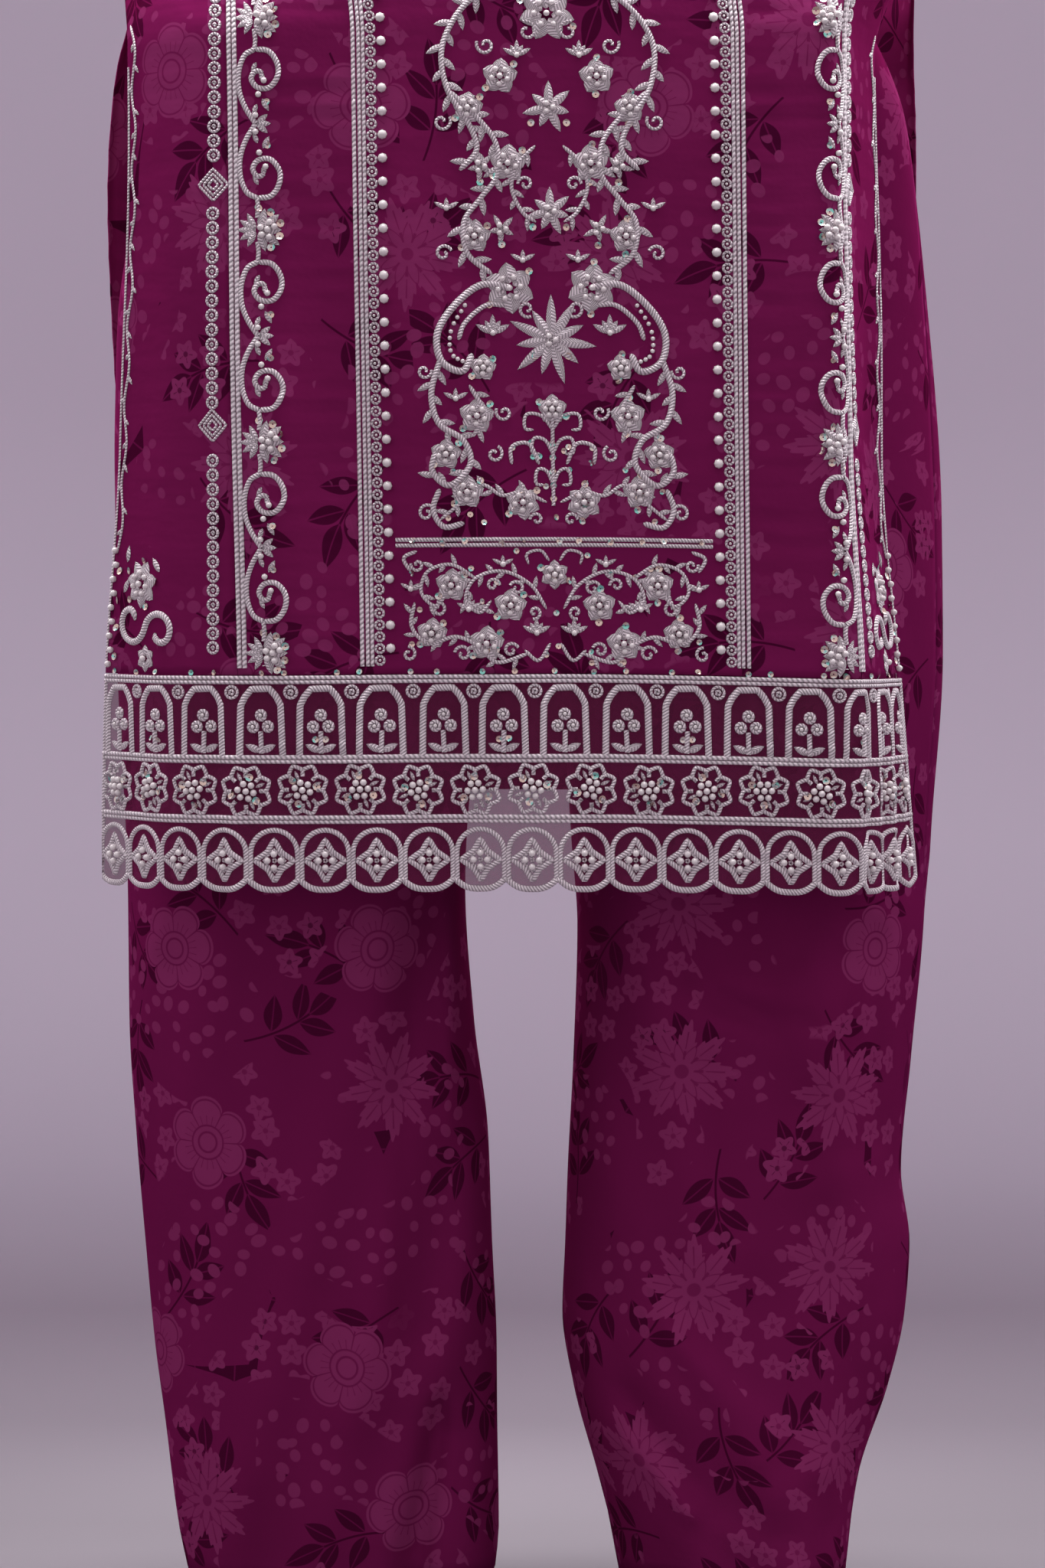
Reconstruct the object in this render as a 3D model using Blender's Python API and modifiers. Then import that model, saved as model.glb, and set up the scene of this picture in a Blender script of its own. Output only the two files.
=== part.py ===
"""A worn salwar suit: a knee-length flared kameez with side slits and a sheer scalloped hem border, over
straight wide trousers. Metres, +Z up, the front faces -Y, and x is positive on the wearer's left.
The origin is the point between the shoulders, level with the base of the neck."""

import math

import bpy
import numpy as np

# Cloth and seams
SEAM = 0.0003
SHOULDER_SEAM = 0.0007  # on the outer side; the walls lean towards each other and end 0.3 mm apart
CLOTH = 0.0012
SHEER = 0.0010
TRIM = 0.0012

# Heights of the kameez, down from the base of the neck
TIP_Z = -0.045
CHEST_Z = -0.215
SLIT_TOP_Z = -0.370
OPEN_Z = -0.470
PRINT_HEM_Z = -0.8385
SCALLOP_Z = -0.9665
BACK_HEM_Z = -0.922
DROP_LEFT = 0.0045  # how much lower the front hangs at its left and right edges
DROP_RIGHT = 0.0015
DROP_REACH = 0.262  # the drop is whole this far round from the centre line
DROP_HEIGHT = 0.350  # and this far below the slits' full opening

# Widths of the kameez
TIP_X = 0.190
NECK_X = 0.070
FRONT_NECK = 0.150
BACK_NECK = 0.030
SHOULDER_DEPTH = 0.170
SHOULDER_REACH = 0.130
SEAM_S = 0.187
SEAM_TIP_S = 0.145
BRAID_S = (0.0925, 0.1135)
CORD_S = 0.1815
STRIP_START = 4  # the row on which the braids and side cords start, below the shoulder's curve

# Hem border
SCALLOPS = 19
SCALLOP_STEPS = 3
SCALLOP_DEPTH = 0.0065
SCALLOP_POWER = 1.6  # a higher power narrows the notch between two scallops
CORD_BANDS = ((-0.8395, -0.8435), (-0.8855, -0.8890), (-0.9205, -0.9240))

# Sleeves
SLEEVE_TILT = math.radians(33)
SLEEVE_LENGTH = 0.270
SLEEVE_TOP_R = 0.068
SLEEVE_HEM_R = 0.054
SLEEVE_GAP = 0.0011
SLEEVE_RINGS = (0, 0.05, 0.12, 0.22, 0.36, 0.52, 0.68, 0.84, 1.0)

# Trousers
WAIST_Z = -0.390
BAND_HEIGHT = 0.032
BAND_STEPS = 28
TROUSER_COLUMNS = 10
FOLD_EASE = 0.15  # the share of a half leg, beside each seam, over which its folds fade out
SEAM_TOUCH = 0.0002  # edges that come nearer than this to the seam are parted

# The closed body above the slits: z, half width right and left, front, side seam and back in y, squareness
CLOSED = [
    dict(z=-0.215, right=0.245, left=0.245, front=-0.138, side=0.000, back=0.117, n=2.5),
    dict(z=-0.265, right=0.238, left=0.238, front=-0.142, side=0.000, back=0.118, n=2.5),
    dict(z=-0.320, right=0.236, left=0.234, front=-0.143, side=0.000, back=0.120, n=2.6),
    dict(z=-0.370, right=0.246, left=0.240, front=-0.150, side=0.000, back=0.130, n=2.6),
    dict(z=-0.470, right=0.256, left=0.246, front=-0.156, side=0.000, back=0.140, n=2.6),
]

# The front below the slit tops: half the cut width on each side, then where each side turns back,
# over what length, and by how many degrees
FRONT = [
    dict(z=-0.3700, x=0.0100, y=-0.152, wide_r=0.268, at_r=0.150, over_r=0.130, turn_r=50,
         wide_l=0.266, at_l=0.159, over_l=0.015, turn_l=66),
    dict(z=-0.4700, x=0.0115, y=-0.156, wide_r=0.268, at_r=0.150, over_r=0.130, turn_r=50,
         wide_l=0.266, at_l=0.160, over_l=0.014, turn_l=66),
    dict(z=-0.7000, x=0.0145, y=-0.158, wide_r=0.283, at_r=0.150, over_r=0.130, turn_r=48,
         wide_l=0.270, at_l=0.159, over_l=0.016, turn_l=65),
    dict(z=-0.8385, x=0.0165, y=-0.158, wide_r=0.297, at_r=0.150, over_r=0.130, turn_r=43,
         wide_l=0.273, at_l=0.156, over_l=0.036, turn_l=62),
    dict(z=-0.9700, x=0.0180, y=-0.158, wide_r=0.304, at_r=0.150, over_r=0.130, turn_r=42,
         wide_l=0.273, at_l=0.148, over_l=0.052, turn_l=58),
]

# The back below the slit tops, in the same terms
BACK = [
    dict(z=-0.3700, x=0.0000, y=0.134, wide_r=0.300, at_r=0.150, over_r=0.080, turn_r=64,
         wide_l=0.290, at_l=0.148, over_l=0.080, turn_l=58),
    dict(z=-0.4700, x=0.0000, y=0.140, wide_r=0.298, at_r=0.172, over_r=0.080, turn_r=50,
         wide_l=0.280, at_l=0.156, over_l=0.080, turn_l=49),
    dict(z=-0.6000, x=0.0020, y=0.143, wide_r=0.288, at_r=0.184, over_r=0.080, turn_r=38,
         wide_l=0.266, at_l=0.166, over_l=0.080, turn_l=40),
    dict(z=-0.7500, x=0.0040, y=0.141, wide_r=0.276, at_r=0.188, over_r=0.080, turn_r=32,
         wide_l=0.262, at_l=0.178, over_l=0.080, turn_l=33),
    dict(z=-0.9250, x=0.0060, y=0.136, wide_r=0.266, at_r=0.185, over_r=0.080, turn_r=30,
         wide_l=0.262, at_l=0.183, over_l=0.080, turn_l=31),
]

CROWN = 0.45  # how fast the front and back turn between their sides, in radians a metre

# Each trouser leg's ring: inner and outer x as distances from the middle, front and back y, and how far
# the ring leans outwards towards the back
LEG_LEFT = [
    dict(z=-0.390, inner=-0.165, outer=0.165, front=-0.098, back=0.098, lean=0.00),
    dict(z=-0.445, inner=-0.205, outer=0.2120, front=-0.104, back=0.104, lean=0.00),
    dict(z=-0.500, inner=-0.225, outer=0.2350, front=-0.106, back=0.106, lean=0.10),
    dict(z=-0.560, inner=-0.190, outer=0.2430, front=-0.104, back=0.108, lean=0.24),
    dict(z=-0.620, inner=-0.115, outer=0.2480, front=-0.098, back=0.108, lean=0.36),
    dict(z=-0.670, inner=-0.045, outer=0.2515, front=-0.092, back=0.106, lean=0.42),
    dict(z=-0.705, inner=-0.002, outer=0.2535, front=-0.088, back=0.104, lean=0.44),
    dict(z=-0.735, inner=0.010, outer=0.2550, front=-0.086, back=0.103, lean=0.44),
    dict(z=-0.830, inner=0.020, outer=0.2565, front=-0.084, back=0.100, lean=0.44),
    dict(z=-0.950, inner=0.028, outer=0.2500, front=-0.084, back=0.096, lean=0.40),
    dict(z=-1.000, inner=0.0315, outer=0.249, front=-0.083, back=0.094, lean=0.22),
    dict(z=-1.085, inner=0.0290, outer=0.242, front=-0.080, back=0.090, lean=0.12),
    dict(z=-1.155, inner=0.0255, outer=0.236, front=-0.078, back=0.087, lean=0.06),
    dict(z=-1.200, inner=0.0240, outer=0.2415, front=-0.078, back=0.086, lean=0.04),
    dict(z=-1.245, inner=0.0222, outer=0.2380, front=-0.080, back=0.086, lean=0.00),
    dict(z=-1.290, inner=0.0290, outer=0.2275, front=-0.082, back=0.086, lean=0.00),
    dict(z=-1.345, inner=0.0440, outer=0.2085, front=-0.085, back=0.084, lean=-0.04),
    dict(z=-1.410, inner=0.0610, outer=0.1985, front=-0.088, back=0.082, lean=-0.06),
]
LEG_RIGHT = [
    dict(z=-0.390, inner=-0.165, outer=0.165, front=-0.098, back=0.098, lean=0.00),
    dict(z=-0.445, inner=-0.205, outer=0.208, front=-0.104, back=0.104, lean=0.00),
    dict(z=-0.500, inner=-0.225, outer=0.234, front=-0.106, back=0.106, lean=0.04),
    dict(z=-0.560, inner=-0.190, outer=0.246, front=-0.104, back=0.108, lean=0.10),
    dict(z=-0.620, inner=-0.115, outer=0.2555, front=-0.098, back=0.108, lean=0.16),
    dict(z=-0.670, inner=-0.045, outer=0.2575, front=-0.092, back=0.106, lean=0.18),
    dict(z=-0.705, inner=-0.002, outer=0.2582, front=-0.089, back=0.104, lean=0.18),
    dict(z=-0.735, inner=0.012, outer=0.2580, front=-0.088, back=0.103, lean=0.18),
    dict(z=-0.830, inner=0.026, outer=0.2572, front=-0.086, back=0.100, lean=0.18),
    dict(z=-0.975, inner=0.0390, outer=0.2515, front=-0.080, back=0.092, lean=0.12),
    dict(z=-1.060, inner=0.0335, outer=0.2508, front=-0.076, back=0.086, lean=0.08),
    dict(z=-1.130, inner=0.0248, outer=0.2466, front=-0.072, back=0.080, lean=0.04),
    dict(z=-1.200, inner=0.0222, outer=0.2408, front=-0.068, back=0.074, lean=0.00),
    dict(z=-1.265, inner=0.0193, outer=0.2350, front=-0.064, back=0.068, lean=0.00),
    dict(z=-1.310, inner=0.0190, outer=0.2292, front=-0.061, back=0.064, lean=0.00),
    dict(z=-1.380, inner=0.0180, outer=0.2205, front=-0.057, back=0.058, lean=0.00),
    dict(z=-1.410, inner=0.0210, outer=0.2140, front=-0.055, back=0.055, lean=0.00),
]
LEG_SQUARE = 2.15

# Hem of each leg: its height at the front, side and back
HEM_LEFT = dict(front=-1.392, side=-1.409, back=-1.404)
HEM_RIGHT = dict(front=-1.406, side=-1.408, back=-1.402)

# The largest folds: leg, half ("front" or "back"), the two ends of the fold line as x and z, its half
# width, and its height above the cloth (a trough is negative)
FOLDS = [
    dict(leg="left", half="front", x0=0.085, z0=-1.052, x1=0.165, z1=-1.050, wide=0.030, high=0.006),
    dict(leg="left", half="front", x0=0.105, z0=-1.005, x1=0.200, z1=-1.010, wide=0.020, high=-0.005),
    dict(leg="left", half="front", x0=0.218, z0=-0.985, x1=0.178, z1=-1.080, wide=0.018, high=0.005),
    dict(leg="left", half="front", x0=0.125, z0=-1.105, x1=0.135, z1=-1.190, wide=0.026, high=0.005),
    dict(leg="left", half="front", x0=0.080, z0=-1.265, x1=0.150, z1=-1.340, wide=0.020, high=0.006),
    dict(leg="left", half="front", x0=0.060, z0=-1.315, x1=0.105, z1=-1.385, wide=0.018, high=0.006),
    dict(leg="left", half="front", x0=0.175, z0=-1.180, x1=0.190, z1=-1.300, wide=0.022, high=-0.005),
    dict(leg="left", half="back", x0=0.200, z0=-1.020, x1=0.060, z1=-1.075, wide=0.022, high=0.006),
    dict(leg="left", half="back", x0=0.180, z0=-1.150, x1=0.080, z1=-1.230, wide=0.024, high=0.005),
    dict(leg="left", half="back", x0=0.140, z0=-1.260, x1=0.110, z1=-1.380, wide=0.020, high=-0.005),
    dict(leg="right", half="front", x0=-0.060, z0=-0.995, x1=-0.062, z1=-1.240, wide=0.018, high=-0.006),
    dict(leg="right", half="front", x0=-0.052, z0=-1.315, x1=-0.072, z1=-1.400, wide=0.014, high=-0.007),
    dict(leg="right", half="front", x0=-0.085, z0=-1.000, x1=-0.090, z1=-1.280, wide=0.022, high=0.004),
    dict(leg="right", half="front", x0=-0.200, z0=-1.060, x1=-0.190, z1=-1.330, wide=0.026, high=0.003),
    dict(leg="right", half="back", x0=-0.205, z0=-1.030, x1=-0.070, z1=-1.090, wide=0.024, high=0.006),
    dict(leg="right", half="back", x0=-0.130, z0=-1.140, x1=-0.120, z1=-1.380, wide=0.024, high=-0.006),
    dict(leg="right", half="back", x0=-0.180, z0=-1.200, x1=-0.175, z1=-1.370, wide=0.022, high=0.005),
]

# Soft folds of the kameez: piece, its distance s round from the centre line at the top and bottom, its
# heights, half width and height above the cloth
DRAPES = [
    dict(side="front", s0=-0.225, s1=-0.245, top=-0.50, low=-0.97, wide=0.016, high=0.0035),
    dict(side="front", s0=-0.150, s1=-0.158, top=-0.60, low=-0.84, wide=0.020, high=0.0025),
    dict(side="front", s0=0.150, s1=0.158, top=-0.50, low=-0.84, wide=0.018, high=0.0025),
    dict(side="front", s0=0.236, s1=0.246, top=-0.52, low=-0.97, wide=0.016, high=-0.0035),
    dict(side="back", s0=-0.170, s1=-0.190, top=-0.42, low=-0.93, wide=0.024, high=-0.006),
    dict(side="back", s0=-0.085, s1=-0.095, top=-0.46, low=-0.93, wide=0.026, high=0.005),
    dict(side="back", s0=0.020, s1=0.030, top=-0.40, low=-0.90, wide=0.024, high=-0.005),
    dict(side="back", s0=0.110, s1=0.125, top=-0.48, low=-0.93, wide=0.026, high=0.006),
    dict(side="back", s0=0.195, s1=0.205, top=-0.50, low=-0.93, wide=0.020, high=-0.004),
]

# Colours, linear
WINE = (0.130, 0.012, 0.060, 1.0)
VEIL = (0.200, 0.050, 0.110, 1.0)
SILVER = (0.560, 0.500, 0.530, 1.0)


def smooth(t):
    """Ease from 0 to 1."""
    t = min(1.0, max(0.0, t))
    return t * t * (3 - 2 * t)


def row_at(table, z):
    """A table's row at a height, eased between the rows with a monotone cubic in each column."""
    rows = sorted(table, key=lambda r: r["z"])
    heights = np.array([r["z"] for r in rows])
    z = float(np.clip(z, heights[0], heights[-1]))
    out = {"z": z}
    k = int(np.clip(np.searchsorted(heights, z) - 1, 0, len(heights) - 2))
    step = np.diff(heights)
    t = (z - heights[k]) / step[k]
    for name in rows[0]:
        if name == "z":
            continue
        v = np.array([r[name] for r in rows], float)
        rise = np.diff(v) / step
        slope = np.zeros(len(v))
        for i in range(1, len(v) - 1):
            a, b = rise[i - 1], rise[i]
            slope[i] = 2 * a * b / (a + b) if a * b > 0 else 0.0
        slope[0], slope[-1] = rise[0], rise[-1]
        h = step[k]
        out[name] = float(
            v[k] * (1 + 2 * t) * (1 - t) ** 2
            + slope[k] * h * t * (1 - t) ** 2
            + v[k + 1] * t * t * (3 - 2 * t)
            + slope[k + 1] * h * t * t * (t - 1)
        )
    return out


def arc_table(x, y):
    """Lengths along a plane curve."""
    return np.concatenate([[0.0], np.cumsum(np.hypot(np.diff(x), np.diff(y)))])


def closed_quarter(z, side, face):
    """A quarter of the closed body at a height, from the centre line to the side seam."""
    r = row_at(CLOSED, z)
    wide = r["left"] if side > 0 else r["right"]
    deep = abs(r["side"] - r[face])
    u = np.linspace(0, math.pi / 2, 200)
    x = wide * np.sin(u) ** (2 / r["n"])
    y = deep * (1 - np.clip(np.cos(u), 0, 1) ** (2 / r["n"]))
    return x, y, r[face]


def open_half(z, side, face):
    """Half of the front or back panel below the slits, from its centre line to its edge."""
    r = row_at(FRONT if face == "front" else BACK, z)
    tail = "_l" if side > 0 else "_r"
    s = np.linspace(0, r["wide" + tail], 200)
    t = np.clip((s - r["at" + tail]) / r["over" + tail], 0, 1)
    heading = CROWN * s + math.radians(r["turn" + tail]) * t * t * (3 - 2 * t)
    ds = s[1]
    x = np.concatenate([[0], np.cumsum(np.cos(heading[1:] - CROWN * ds / 2) * ds)])
    y = np.concatenate([[0], np.cumsum(np.sin(heading[1:] - CROWN * ds / 2) * ds)])
    return x, y, r["y"], r["x"]


def half_length(z, side, face):
    """The cut width from the centre line to the edge at a height."""
    xc, yc, _ = closed_quarter(max(z, OPEN_Z), side, face)
    closed = arc_table(xc, yc)[-1]
    tail = "_l" if side > 0 else "_r"
    opened = row_at(FRONT if face == "front" else BACK, z)["wide" + tail]
    w = smooth((SLIT_TOP_Z - z) / (SLIT_TOP_Z - OPEN_Z))
    return closed * (1 - w) + opened * w


def body_point(s, z, face):
    """A point of the kameez's outer side: s metres round from the centre line, at a height."""
    side = 1 if s >= 0 else -1
    turn = -1 if face == "front" else 1
    level = min(max(z, OPEN_Z), CHEST_Z)
    whole = half_length(min(z, CHEST_Z), side, face)
    t = min(abs(s) / whole, 1.0)
    xc, yc, base = closed_quarter(level, side, face)
    run = arc_table(xc, yc)
    x = np.interp(t * run[-1], run, xc)
    y = abs(base) - np.interp(t * run[-1], run, yc)
    middle = 0.0
    w = smooth((SLIT_TOP_Z - z) / (SLIT_TOP_Z - OPEN_Z))
    if w > 0:
        xo, yo, open_base, open_x = open_half(z, side, face)
        run = arc_table(xo, yo)
        x = x * (1 - w) + w * np.interp(t * run[-1], run, xo)
        y = y * (1 - w) + w * (abs(open_base) - np.interp(t * run[-1], run, yo))
        middle = w * open_x
    if z > CHEST_Z:
        fall = min(1.0, max(0.0, (shoulder_z(x) - z) / SHOULDER_DEPTH))
        y *= math.sqrt(max(0.0, 1 - (1 - fall) ** 2))
    y += sum(lift(d, s, z) for d in DRAPES if d["side"] == face)
    return np.array([middle + side * x, turn * y, z - hem_drop(s, z, face)])


def hem_drop(s, z, face):
    """How much lower the front hangs towards its sides."""
    if face == "back":
        return 0.0
    drop = DROP_LEFT if s > 0 else DROP_RIGHT
    return drop * smooth(abs(s) / DROP_REACH) * smooth((OPEN_Z - z) / DROP_HEIGHT)


def lift(d, s, z):
    """How far one soft fold raises the cloth."""
    along = (d["top"] - z) / (d["top"] - d["low"])
    if along <= 0:
        return 0.0
    away = (s - (d["s0"] + (d["s1"] - d["s0"]) * min(along, 1.0))) / d["wide"]
    return d["high"] * math.exp(-away * away) * smooth(along * 2.5)


def shoulder_z(x):
    """The height of the shoulder line over a place across the body."""
    return TIP_Z * max(0.0, (abs(x) - NECK_X)) / (TIP_X - NECK_X)


def top_z(x, depth):
    """The top edge of a panel: the neckline inside the neck, the shoulder line outside it."""
    if abs(x) < NECK_X:
        return -depth * math.sqrt(max(0.0, 1 - (x / NECK_X) ** 2))
    return shoulder_z(x)


# The armhole: how far up it, and its distance from the centre line
ARMHOLE = [(0.0, 0.2450), (0.06, 0.2250), (0.15, 0.2060), (0.30, 0.1930), (0.50, 0.1860),
           (0.70, 0.1850), (0.85, 0.1870), (0.94, 0.1888), (0.984, 0.1897), (1.0, TIP_X)]


def s_of_x(x, face, side):
    """The distance round the chest of a place across the body."""
    xc, yc, _ = closed_quarter(CHEST_Z, side, face)
    return float(np.interp(abs(x), xc, arc_table(xc, yc)))


def wall(name, rows, thickness, material, around=False):
    """A cloth wall whose outer side is the grid rows[row][column], top row first."""
    count, wide = len(rows), len(rows[0])
    verts = [tuple(float(c) for c in p) for row in rows for p in row]
    faces = []
    for i in range(count - 1):
        for j in range(wide if around else wide - 1):
            k = (j + 1) % wide
            faces.append((i * wide + j, (i + 1) * wide + j, (i + 1) * wide + k, i * wide + k))
    mesh = bpy.data.meshes.new(name)
    mesh.from_pydata(verts, [], faces)
    mesh.validate()
    mesh.shade_smooth()
    mesh.materials.append(material)
    obj = bpy.data.objects.new(name, mesh)
    suit.objects.link(obj)
    solid = obj.modifiers.new("wall", "SOLIDIFY")
    solid.thickness = thickness
    solid.offset = -1
    solid.use_rim = True


def moved_out(rows, distance):
    """The same grid, moved out along its normals."""
    p = np.array(rows, float)
    down = np.gradient(p, axis=0)
    across = np.gradient(p, axis=1)
    normal = np.cross(down, across)
    normal /= np.linalg.norm(normal, axis=2, keepdims=True)
    return p + normal * distance


def body_rows(face):
    """The heights of the kameez's rows below the chest."""
    upper = [CHEST_Z, -0.262, -0.316, SLIT_TOP_Z, -0.392, -0.420, OPEN_Z]
    if face == "front":
        lower = [-0.520, -0.585, -0.650, -0.715, -0.780, PRINT_HEM_Z]
    else:
        lower = [-0.520, -0.585, -0.650, -0.715, -0.785, -0.855, BACK_HEM_Z]
    return upper + lower


def seam_s(v):
    """The princess seam's distance from the centre line, at a share of the way up from the chest."""
    return SEAM_S + (SEAM_TIP_S - SEAM_S) * smooth(v)


def panel(name, face, start, end, shares, material):
    """A panel of the kameez between two edges, each a function of the height and of the share v of the
    way up from the chest, cut at the neckline, shoulder and armhole."""
    depth = FRONT_NECK if face == "front" else BACK_NECK
    rows = []
    for v, _ in reversed(ARMHOLE[1:]):
        row = []
        for share in shares:
            a, b = start(CHEST_Z, v), end(CHEST_Z, v)
            s = a + (b - a) * share
            x = body_point(s, CHEST_Z, face)[0]
            z = CHEST_Z + (top_z(x, depth) - CHEST_Z) * v
            row.append(seamed(body_point(s, z, face), face, SHOULDER_SEAM / 2))
        rows.append(row)
    for z in body_rows(face):
        a, b = start(z, 0.0), end(z, 0.0)
        row = [body_point(a + (b - a) * share, z, face) for share in shares]
        rows.append([seamed(p, face, SEAM / 2) for p in row] if z >= SLIT_TOP_Z else row)
    if face == "back":
        rows = [row[::-1] for row in rows]
    wall(name, rows, CLOTH, material)
    return rows


def seamed(p, face, gap):
    """A point kept clear of the shoulder and side seams at y = 0."""
    p = np.array(p)
    p[1] = min(p[1], -gap) if face == "front" else max(p[1], gap)
    return p


def edge_of(face, side):
    """The panel's outer edge: the side seam or slit below the chest, the armhole above it."""
    def edge(z, v):
        if v > 0:
            x = np.interp(v, [a for a, _ in ARMHOLE], [b for _, b in ARMHOLE])
            return side * s_of_x(x, face, side)
        return side * half_length(z, side, face)
    return edge


def build_kameez():
    """The front's centre and two gores, the back, and the braids that lie on the centre."""
    inner = SEAM / 2
    centre_marks = [0.0, 0.046, BRAID_S[0], BRAID_S[1], 0.146, 0.163, 0.175, CORD_S, SEAM_S - inner]
    half = [m / (SEAM_S - inner) for m in centre_marks]
    shares = [(1 - h) / 2 for h in reversed(half[1:])] + [(1 + h) / 2 for h in half]
    centre = panel(
        "kameez_front_centre", "front",
        lambda z, v: -(seam_s(v) - inner), lambda z, v: seam_s(v) - inner, shares, printed)
    gore = [0.0, 0.04, 0.35, 0.65, 0.95, 1.0]
    left_edge, right_edge = edge_of("front", 1), edge_of("front", -1)
    panel("kameez_front_gore_left", "front",
          lambda z, v: seam_s(v) + inner, left_edge, gore, printed)
    panel("kameez_front_gore_right", "front",
          right_edge, lambda z, v: -(seam_s(v) + inner), [1 - g for g in reversed(gore)], printed)
    back = [0, 0.01, 0.09, 0.18, 0.26, 0.34, 0.42, 0.50, 0.58, 0.66, 0.74, 0.82, 0.91, 0.99, 1]
    panel("kameez_back", "back", edge_of("back", -1), edge_of("back", 1), back, printed)

    lifted = moved_out(centre, SEAM + TRIM)[STRIP_START:]
    middle = len(centre_marks) - 1
    for name, mark in (("braid", BRAID_S[0]), ("side_cord", CORD_S)):
        k = centre_marks.index(mark)
        for tail, first in (("left", middle + k), ("right", middle - k - 1)):
            wall(f"{name}_{tail}", [list(row[first:first + 2]) for row in lifted], TRIM, thread)


def build_border():
    """The sheer border below the front's printed hem, its three raised cords and its scalloped edge."""
    count = SCALLOPS * SCALLOP_STEPS
    levels = [PRINT_HEM_Z - SEAM] + [z for band in CORD_BANDS for z in band]
    rows = []
    for z in levels + [SCALLOP_Z]:
        row = []
        for k in range(count + 1):
            share = k / count
            a, b = -half_length(z, -1, "front"), half_length(z, 1, "front")
            rise = SCALLOP_DEPTH * (1 - abs(math.sin(math.pi * k / SCALLOP_STEPS))) ** SCALLOP_POWER
            at = z + rise if z == SCALLOP_Z else z
            row.append(body_point(a + (b - a) * share, at, "front"))
        rows.append(row)
    wall("hem_border", rows, SHEER, veil)
    lifted = moved_out(rows, SEAM + TRIM)
    for i in range(len(CORD_BANDS)):
        wall(f"border_cord_{i + 1}", [list(r) for r in lifted[1 + 2 * i:3 + 2 * i]], TRIM, thread)


def armhole_loop(side):
    """The armhole's points: up the front from the underarm to the shoulder tip, and down the back."""
    loop = []
    for face, order in (("front", ARMHOLE), ("back", ARMHOLE[-2:0:-1])):
        edge = edge_of(face, side)
        for v, _ in order:
            s = edge(CHEST_Z, v)
            x = body_point(s, CHEST_Z, face)[0]
            loop.append(body_point(s, CHEST_Z + (top_z(x, 0) - CHEST_Z) * v, face))
    return loop


def build_sleeve(name, side):
    """A three-quarter sleeve: a tube from the armhole to its hem, tilted out from the body."""
    loop = armhole_loop(side)
    across = np.array([side * math.cos(SLEEVE_TILT), 0, math.sin(SLEEVE_TILT)])
    down = np.array([side * math.sin(SLEEVE_TILT), 0, -math.cos(SLEEVE_TILT)])
    start = loop[0] + across * SLEEVE_TOP_R
    half = len(ARMHOLE) - 1
    rows = []
    for t in SLEEVE_RINGS:
        radius = SLEEVE_TOP_R + (SLEEVE_HEM_R - SLEEVE_TOP_R) * t
        centre = start + down * (SLEEVE_LENGTH * t)
        row = []
        for k, p in enumerate(loop):
            angle = math.pi * (1 - k / half)
            tube = centre + radius * (across * math.cos(angle) + np.array([0, -math.sin(angle), 0]))
            out = np.array([p[0] / ARMHOLE[0][1], p[1] / SHOULDER_REACH, (p[2] - CHEST_Z) / (TIP_Z - CHEST_Z)])
            out /= np.linalg.norm(out)
            grown = p + SLEEVE_GAP * (np.array([side, 0, 0]) + out)
            w = smooth(t / 0.5)
            row.append(grown * (1 - w) + tube * w)
        rows.append(row if side > 0 else row[::-1])
    wall(name, rows, CLOTH, printed, around=True)


def leg_curve(table, z, half):
    """Half of a leg's ring at a height, from its inner seam or the centre seam to its outer seam, as x
    outwards and y."""
    r = row_at(table, z)
    cx, hw = (r["inner"] + r["outer"]) / 2, (r["outer"] - r["inner"]) / 2
    cy, hd = (r["front"] + r["back"]) / 2, (r["back"] - r["front"]) / 2
    u = np.linspace(0, math.pi, 300)
    power = 2 / LEG_SQUARE
    x = -np.sign(np.cos(u)) * np.abs(np.cos(u)) ** power * hw
    y = np.sin(u).clip(0) ** power * hd * (-1 if half == "front" else 1)
    x = cx + x + r["lean"] * y * (1 + x / hw) / 2
    y = cy + y
    keep = x >= SEAM / 2
    if not keep[0]:
        k = int(np.argmax(keep))
        t = (SEAM / 2 - x[k - 1]) / (x[k] - x[k - 1])
        x = np.concatenate([[SEAM / 2], x[k:]])
        y = np.concatenate([[y[k - 1] + t * (y[k] - y[k - 1])], y[k:]])
    return x, y


def fold_lift(leg, half, x, z):
    """How far the leg's folds raise the cloth at a place seen from the front."""
    total = 0.0
    for f in FOLDS:
        if f["leg"] != leg or f["half"] != half:
            continue
        dx, dz = f["x1"] - f["x0"], f["z1"] - f["z0"]
        t = ((x - f["x0"]) * dx + (z - f["z0"]) * dz) / (dx * dx + dz * dz)
        along = min(1.0, max(0.0, t))
        away = math.hypot(x - f["x0"] - along * dx, z - f["z0"] - along * dz) / f["wide"]
        total += f["high"] * math.exp(-away * away)
    return total


def hem_z(hem, share, half):
    """The hem's height at a share of the way from the inner seam to the outer seam."""
    return hem["side"] + (hem[half] - hem["side"]) * math.sin(math.pi * share)


TROUSER_ROWS = [WAIST_Z, -0.420, -0.455, -0.500, -0.560, -0.610, -0.650, -0.680, -0.700, -0.715, -0.760,
                -0.840, -0.920, -0.970, -1.005, -1.040, -1.075, -1.110, -1.150, -1.190, -1.230, -1.265,
                -1.300, -1.335, -1.370]
EDGE_SHARE = 0.012


def leg_point(leg, half, share, z):
    """A point of a trouser leg's outer side."""
    sign = 1 if leg == "left" else -1
    table = LEG_LEFT if leg == "left" else LEG_RIGHT
    x, y = leg_curve(table, z, half)
    run = arc_table(x, y)
    at = share * run[-1]
    px, py = np.interp(at, run, x), np.interp(at, run, y)
    ease = smooth(min(share, 1 - share) / FOLD_EASE)
    raised = fold_lift(leg, half, sign * px, z) * ease
    return np.array([sign * px, py + raised * (-1 if half == "front" else 1), z])


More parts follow.
